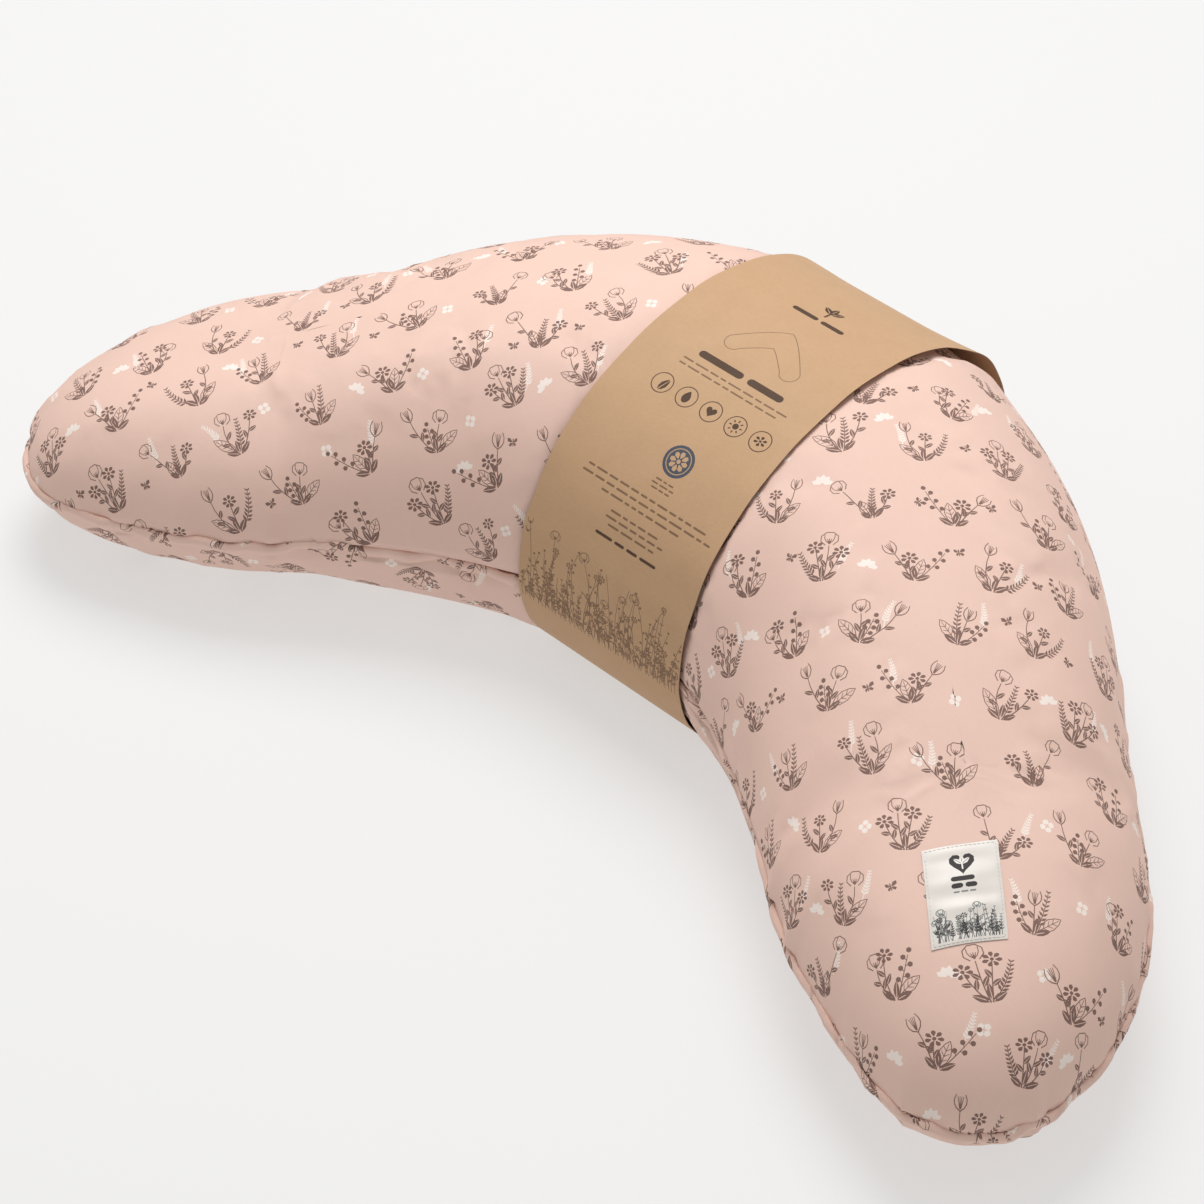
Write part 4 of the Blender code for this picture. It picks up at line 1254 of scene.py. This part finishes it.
sleeve = printed_piece("paper_band", sleeve_grid, sleeve_flat, shapes,
                       [KRAFT, PRINT_DARK, PRINT_BLUE, PRINT_MID],
                       sleeve_grid - (0, band[:, 0].mean(), band[:, 1].mean()), closed=False,
                       thick=PAPER)


# ---- the satin label, laid on the cushion's curve with soft folds ----
LABEL_CORNERS = ((0.3046, -0.1402), (0.3318, -0.1052), (0.3748, -0.1475), (0.3473, -0.1815))
LABEL_SIZE = (44.0, 62.0)
LABEL_THICK = 0.0003
LABEL_LIFT, LABEL_FOLD, LABEL_BOW = 0.0006, 0.0010, 0.0006
LABEL_HEM = 0.8           # mm along the edges where nothing is printed
LABEL_COLS, LABEL_ROWS = 24, 32
crown = BVHTree.FromPolygons(
    top_full.reshape(-1, 3).tolist(),
    strips(np.arange(top_full[..., 0].size).reshape(top_full.shape[:2])).tolist())


def on_top(x, y, lift):
    spot, lean, _, _ = crown.ray_cast((x, y, 1), (0, 0, -1))
    lean = lean if lean.z > 0 else -lean
    return np.array(spot + lean * lift)


corners = np.array(LABEL_CORNERS)


def label_spot(a, b):
    return ((corners[0] * (1 - a) + corners[1] * a) * (1 - b)
            + (corners[3] * (1 - a) + corners[2] * a) * b)


label_grid = np.empty((LABEL_ROWS + 1, LABEL_COLS + 1, 3))
for j in range(LABEL_ROWS + 1):
    for i in range(LABEL_COLS + 1):
        a, b = i / LABEL_COLS, j / LABEL_ROWS
        inner = sin(pi * a) ** 0.5 * sin(pi * b) ** 0.5
        fold = (0.5 + 0.5 * sin(2 * pi * (b * 3.1 + 0.12 * a + 0.1))) ** 2
        fold += 0.5 * (0.5 + 0.5 * sin(2 * pi * (b * 5.3 - 0.2 * a)))
        bow = LABEL_BOW * sin(pi * a)
        x, y = label_spot(a, b)
        label_grid[j, i] = on_top(x, y, LABEL_LIFT + LABEL_FOLD * inner * fold + bow * inner)
label_flat = np.stack(np.meshgrid(np.linspace(0, LABEL_SIZE[0], LABEL_COLS + 1),
                                  -np.linspace(0, LABEL_SIZE[1], LABEL_ROWS + 1)), 2) * MM
draw = np.random.default_rng(33)
wide, tall = LABEL_SIZE
middle = wide * 0.5
shapes = inked(1, heart((middle, -tall * 0.20), 16))
shapes += inked(0, sprig_mark((middle, -tall * 0.20), 8))
shapes += bar_rows(draw, ((1, middle, -tall * 0.365, 15, 3.0),), 13, 15)
shapes += bar_rows(draw, ((1, middle, -tall * 0.435, 15, 3.0),), 6, 7.5, 1.2)
shapes += bar_rows(draw, ((2, middle, -tall * 0.495, 13, 1.0),), 3, 5, 0.8)
shapes += inked(2, meadow(draw, 3.5, wide - 3.5, -tall * 0.955, 19, 30, 0.62))
shapes += inked(1, meadow(draw, 4, wide - 4, -tall * 0.955, 17, 17, 0.62))
shapes = [(ink, p) for ink, p in shapes
          if p[:, 0].min() > LABEL_HEM and p[:, 0].max() < wide - LABEL_HEM
          and p[:, 1].min() > LABEL_HEM - tall]
label = printed_piece("satin_label", label_grid, label_flat, shapes,
                      [SATIN, LABEL_INK, LABEL_TINT], (0, 0, 1), closed=False, thick=LABEL_THICK)


def solid_piece(name, parts, look):
    """One mesh from closed parts: (points, faces) pairs."""
    points, faces = [], []
    for spots, sides in parts:
        faces += [[len(points) + k for k in side] for side in sides]
        points += [tuple(p) for p in spots]
    return new_object(name, points, faces, [look])


def rope(line, radius, sides=6):
    """A round thread along a line, closed at both ends and thinner there."""
    run = unit(np.gradient(line, axis=0))
    side = unit(np.cross(run, (0.13, 0.21, 0.97)))
    lift = np.cross(side, run)
    taper = np.ones(len(line))
    taper[0] = taper[-1] = 0.45
    angle = 2 * pi * np.arange(sides)[:, None] / sides
    points = [row for p, s, u, t in zip(line, side, lift, taper)
              for row in p + (s * np.cos(angle) + u * np.sin(angle)) * radius * t]
    ring = np.arange(len(line) * sides).reshape(-1, sides)
    ahead = np.roll(ring, -1, 1)
    faces = np.stack([ring[:-1], ahead[:-1], ahead[1:], ring[1:]], -1).reshape(-1, 4).tolist()
    return points, faces + [ring[0, ::-1].tolist(), ring[-1].tolist()]


def dashes(line, lift, pitch, length, radius):
    """Lock stitches along a line on the cloth: short threads whose ends dip in."""
    run = distances(line)
    out = []
    for begin in np.arange(0, run[-1] - length, pitch):
        at = begin + length * np.array((0, 0.2, 0.5, 0.8, 1.0))
        rise = np.array((-0.3, 0.55, 0.8, 0.55, -0.3))[:, None] * radius
        out.append(rope(picked(line, run, at) + picked(lift, run, at) * rise, radius))
    return out


def label_line(inset):
    """The line of stitches round the label, so many millimetres in, and its normals."""
    a, b = inset / LABEL_SIZE[0], inset / LABEL_SIZE[1]
    loop = np.array(((a, b), (1 - a, b), (1 - a, 1 - b), (a, 1 - b), (a, b)))
    share = np.linspace(0, 1, 24)[:-1, None]
    spots, lifts = [], []
    for start, end in zip(loop, loop[1:]):
        for i, j in (start + (end - start) * share) * (LABEL_COLS, LABEL_ROWS):
            col, row = int(i), int(j)
            cell = label_grid[row:row + 2, col:col + 2]
            u, v = i - col, j - row
            spots.append((cell[0, 0] * (1 - u) + cell[0, 1] * u) * (1 - v)
                         + (cell[1, 0] * (1 - u) + cell[1, 1] * u) * v)
            lean = np.cross(cell[0, 1] - cell[0, 0], cell[1, 0] - cell[0, 0])
            lifts.append(unit(lean if lean[2] > 0 else -lean))
    return np.array(spots), np.array(lifts)


LABEL_STITCH = (0.0026, 0.0019, 0.00020)       # pitch, length and radius
label_thread = solid_piece("label_thread", dashes(*label_line(1.5), *LABEL_STITCH), SATIN)


# ---- the zip: coiled teeth, and the rows of stitches beside it ----
ZIP_OPEN_END = 110.6
ZIP_SHUT_END = 142.6
HUB = np.array((ZIP_CENTRE[0], ZIP_CENTRE[1] + CENTRE_Y, SEAM_HEIGHT))
TOOTH_PITCH = 0.0016
COIL_BACK, COIL_REACH = 0.0011, 0.00062
COIL_UP, COIL_FLAT = 0.00125, 0.00105
COIL_WIRE = 0.00026
ZIP_STITCH = (0.0032, 0.0024, 0.00028)
STITCH_FROM_ZIP = 0.0062


def zip_coil(side):
    """One nylon coil: flattened loops that reach towards the other tape and interlock."""
    arc = radians(ZIP_SHUT_END - ZIP_OPEN_END) * ZIP_RADIUS
    loops = int(arc / TOOTH_PITCH)
    t = np.arange(loops * 8 + 1) / 8
    angle = radians(ZIP_OPEN_END) + (t + (0.5 if side > 0 else 0)) * TOOTH_PITCH / ZIP_RADIUS
    angle = np.minimum(angle, radians(ZIP_SHUT_END) - 0.0005)
    out = -COIL_BACK + COIL_REACH * np.cos(2 * pi * t)
    up = side * (COIL_UP - COIL_FLAT * np.sin(2 * pi * t))
    reach = ZIP_RADIUS + out
    return HUB + np.stack([reach * np.cos(angle), reach * np.sin(angle), up], 1)


zip_teeth = [solid_piece(f"zip_teeth_{word}", [rope(zip_coil(side), COIL_WIRE, 5)], NYLON)
             for side, word in ((1, "upper"), (-1, "lower"))]


def beside_zip(grid, distance):
    """A line on the cloth at an even distance from the zip's folded edge."""
    rows = np.nonzero(ZIPPED > 0.98)[0]
    rows = rows[np.argsort(PLACE[rows])]
    return np.array([picked(row, distances(row), distance) for row in grid[rows]]), OUT[rows]


zip_threads = [solid_piece(f"zip_topstitch_{word}",
                           dashes(*beside_zip(grid, STITCH_FROM_ZIP), *ZIP_STITCH), THREAD)
               for grid, word in ((top_full, "upper"), (base_full, "lower"))]

# ---- looks of the CAD pieces that stay ----
LOOKS = ((CALICO, "inner_case_top inner_case_bottom inner_case_seam_thread"),
         (KAPOK, "kapok_fill"), (SATIN, "care_label"), (GLUE, "sleeve_glue_strip"),
         (METAL, "zip_stop_open_end zip_stop_shut_end zip_slider zip_pull_tab"),
         (TAPE, "zip_tape_upper zip_tape_lower"), (THREAD, "cover_seam_thread"))
for look, nodes in LOOKS:
    for item in bpy.data.objects:
        if item.type == "MESH" and item.name.split(".")[0] in nodes.split():
            item.data.materials.clear()
            item.data.materials.append(look)


# ---- floor and lights ----
SKY_LOW = 0.13
SKY_HIGH = 0.74


FLOOR_HALF = 12
FLOOR_Z = -0.0006
KEY_AT = Vector((-0.7, 0.72, 2.45))

floor = new_object("floor", [(x * FLOOR_HALF, y * FLOOR_HALF, FLOOR_Z)
                             for x, y in ((-1, -1), (1, -1), (1, 1), (-1, 1))], [(0, 1, 2, 3)])
backdrop = Nodes("backdrop")
backdrop.set(Base_Color=(0.33, 0.33, 0.329, 1), Roughness=0.9, Specular_IOR_Level=0.1,
             Emission_Color=(1, 1, 0.995, 1), Emission_Strength=0.53)
floor.data.materials.append(backdrop.made)

studio = Nodes("studio", kind=bpy.data.worlds, shader="Background")
height = studio.add("ShaderNodeSeparateXYZ")
studio.put(studio.add("ShaderNodeTexCoord").outputs["Generated"], height, 0)
height = height.outputs["Z"]
bright = studio.add("ShaderNodeMapRange", **{"To Min": SKY_LOW, "To Max": SKY_HIGH})
studio.put(height, bright, "Value")
studio.put(bright.outputs[0], studio.shader, "Strength")
studio.put(studio.mix(height, (1.0, 0.90, 0.84), (0.99, 1.0, 1.0)), studio.shader, "Color")
scene.world = studio.made

key_data = bpy.data.lights.new("key", "AREA")
key_data.shape = "DISK"
key_data.size = 1.7
key_data.energy = 50
key = bpy.data.objects.new("key", key_data)
scene.collection.objects.link(key)
key.matrix_world = looking(KEY_AT, Vector((0, 0, 0.1)))

RIDES = ((cover_top, "blush_cotton", "cover_top_panel"),
         (cover_base, "blush_cotton", "cover_bottom_panel"),
         (sleeve, "kraft_paper", "paper_sleeve"),
         (label, "label_satin", "woven_label"),
         (label_thread, "label_satin", "label_stitches"),
         (zip_teeth[0], "zip_nylon", "zip_coil_upper"),
         (zip_teeth[1], "zip_nylon", "zip_coil_lower"),
         (zip_threads[0], "blush_thread", "zip_stitch_upper"),
         (zip_threads[1], "blush_thread", "zip_stitch_lower"))
for piece, slot, node in RIDES:
    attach(piece, "pillow")
    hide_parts(node)
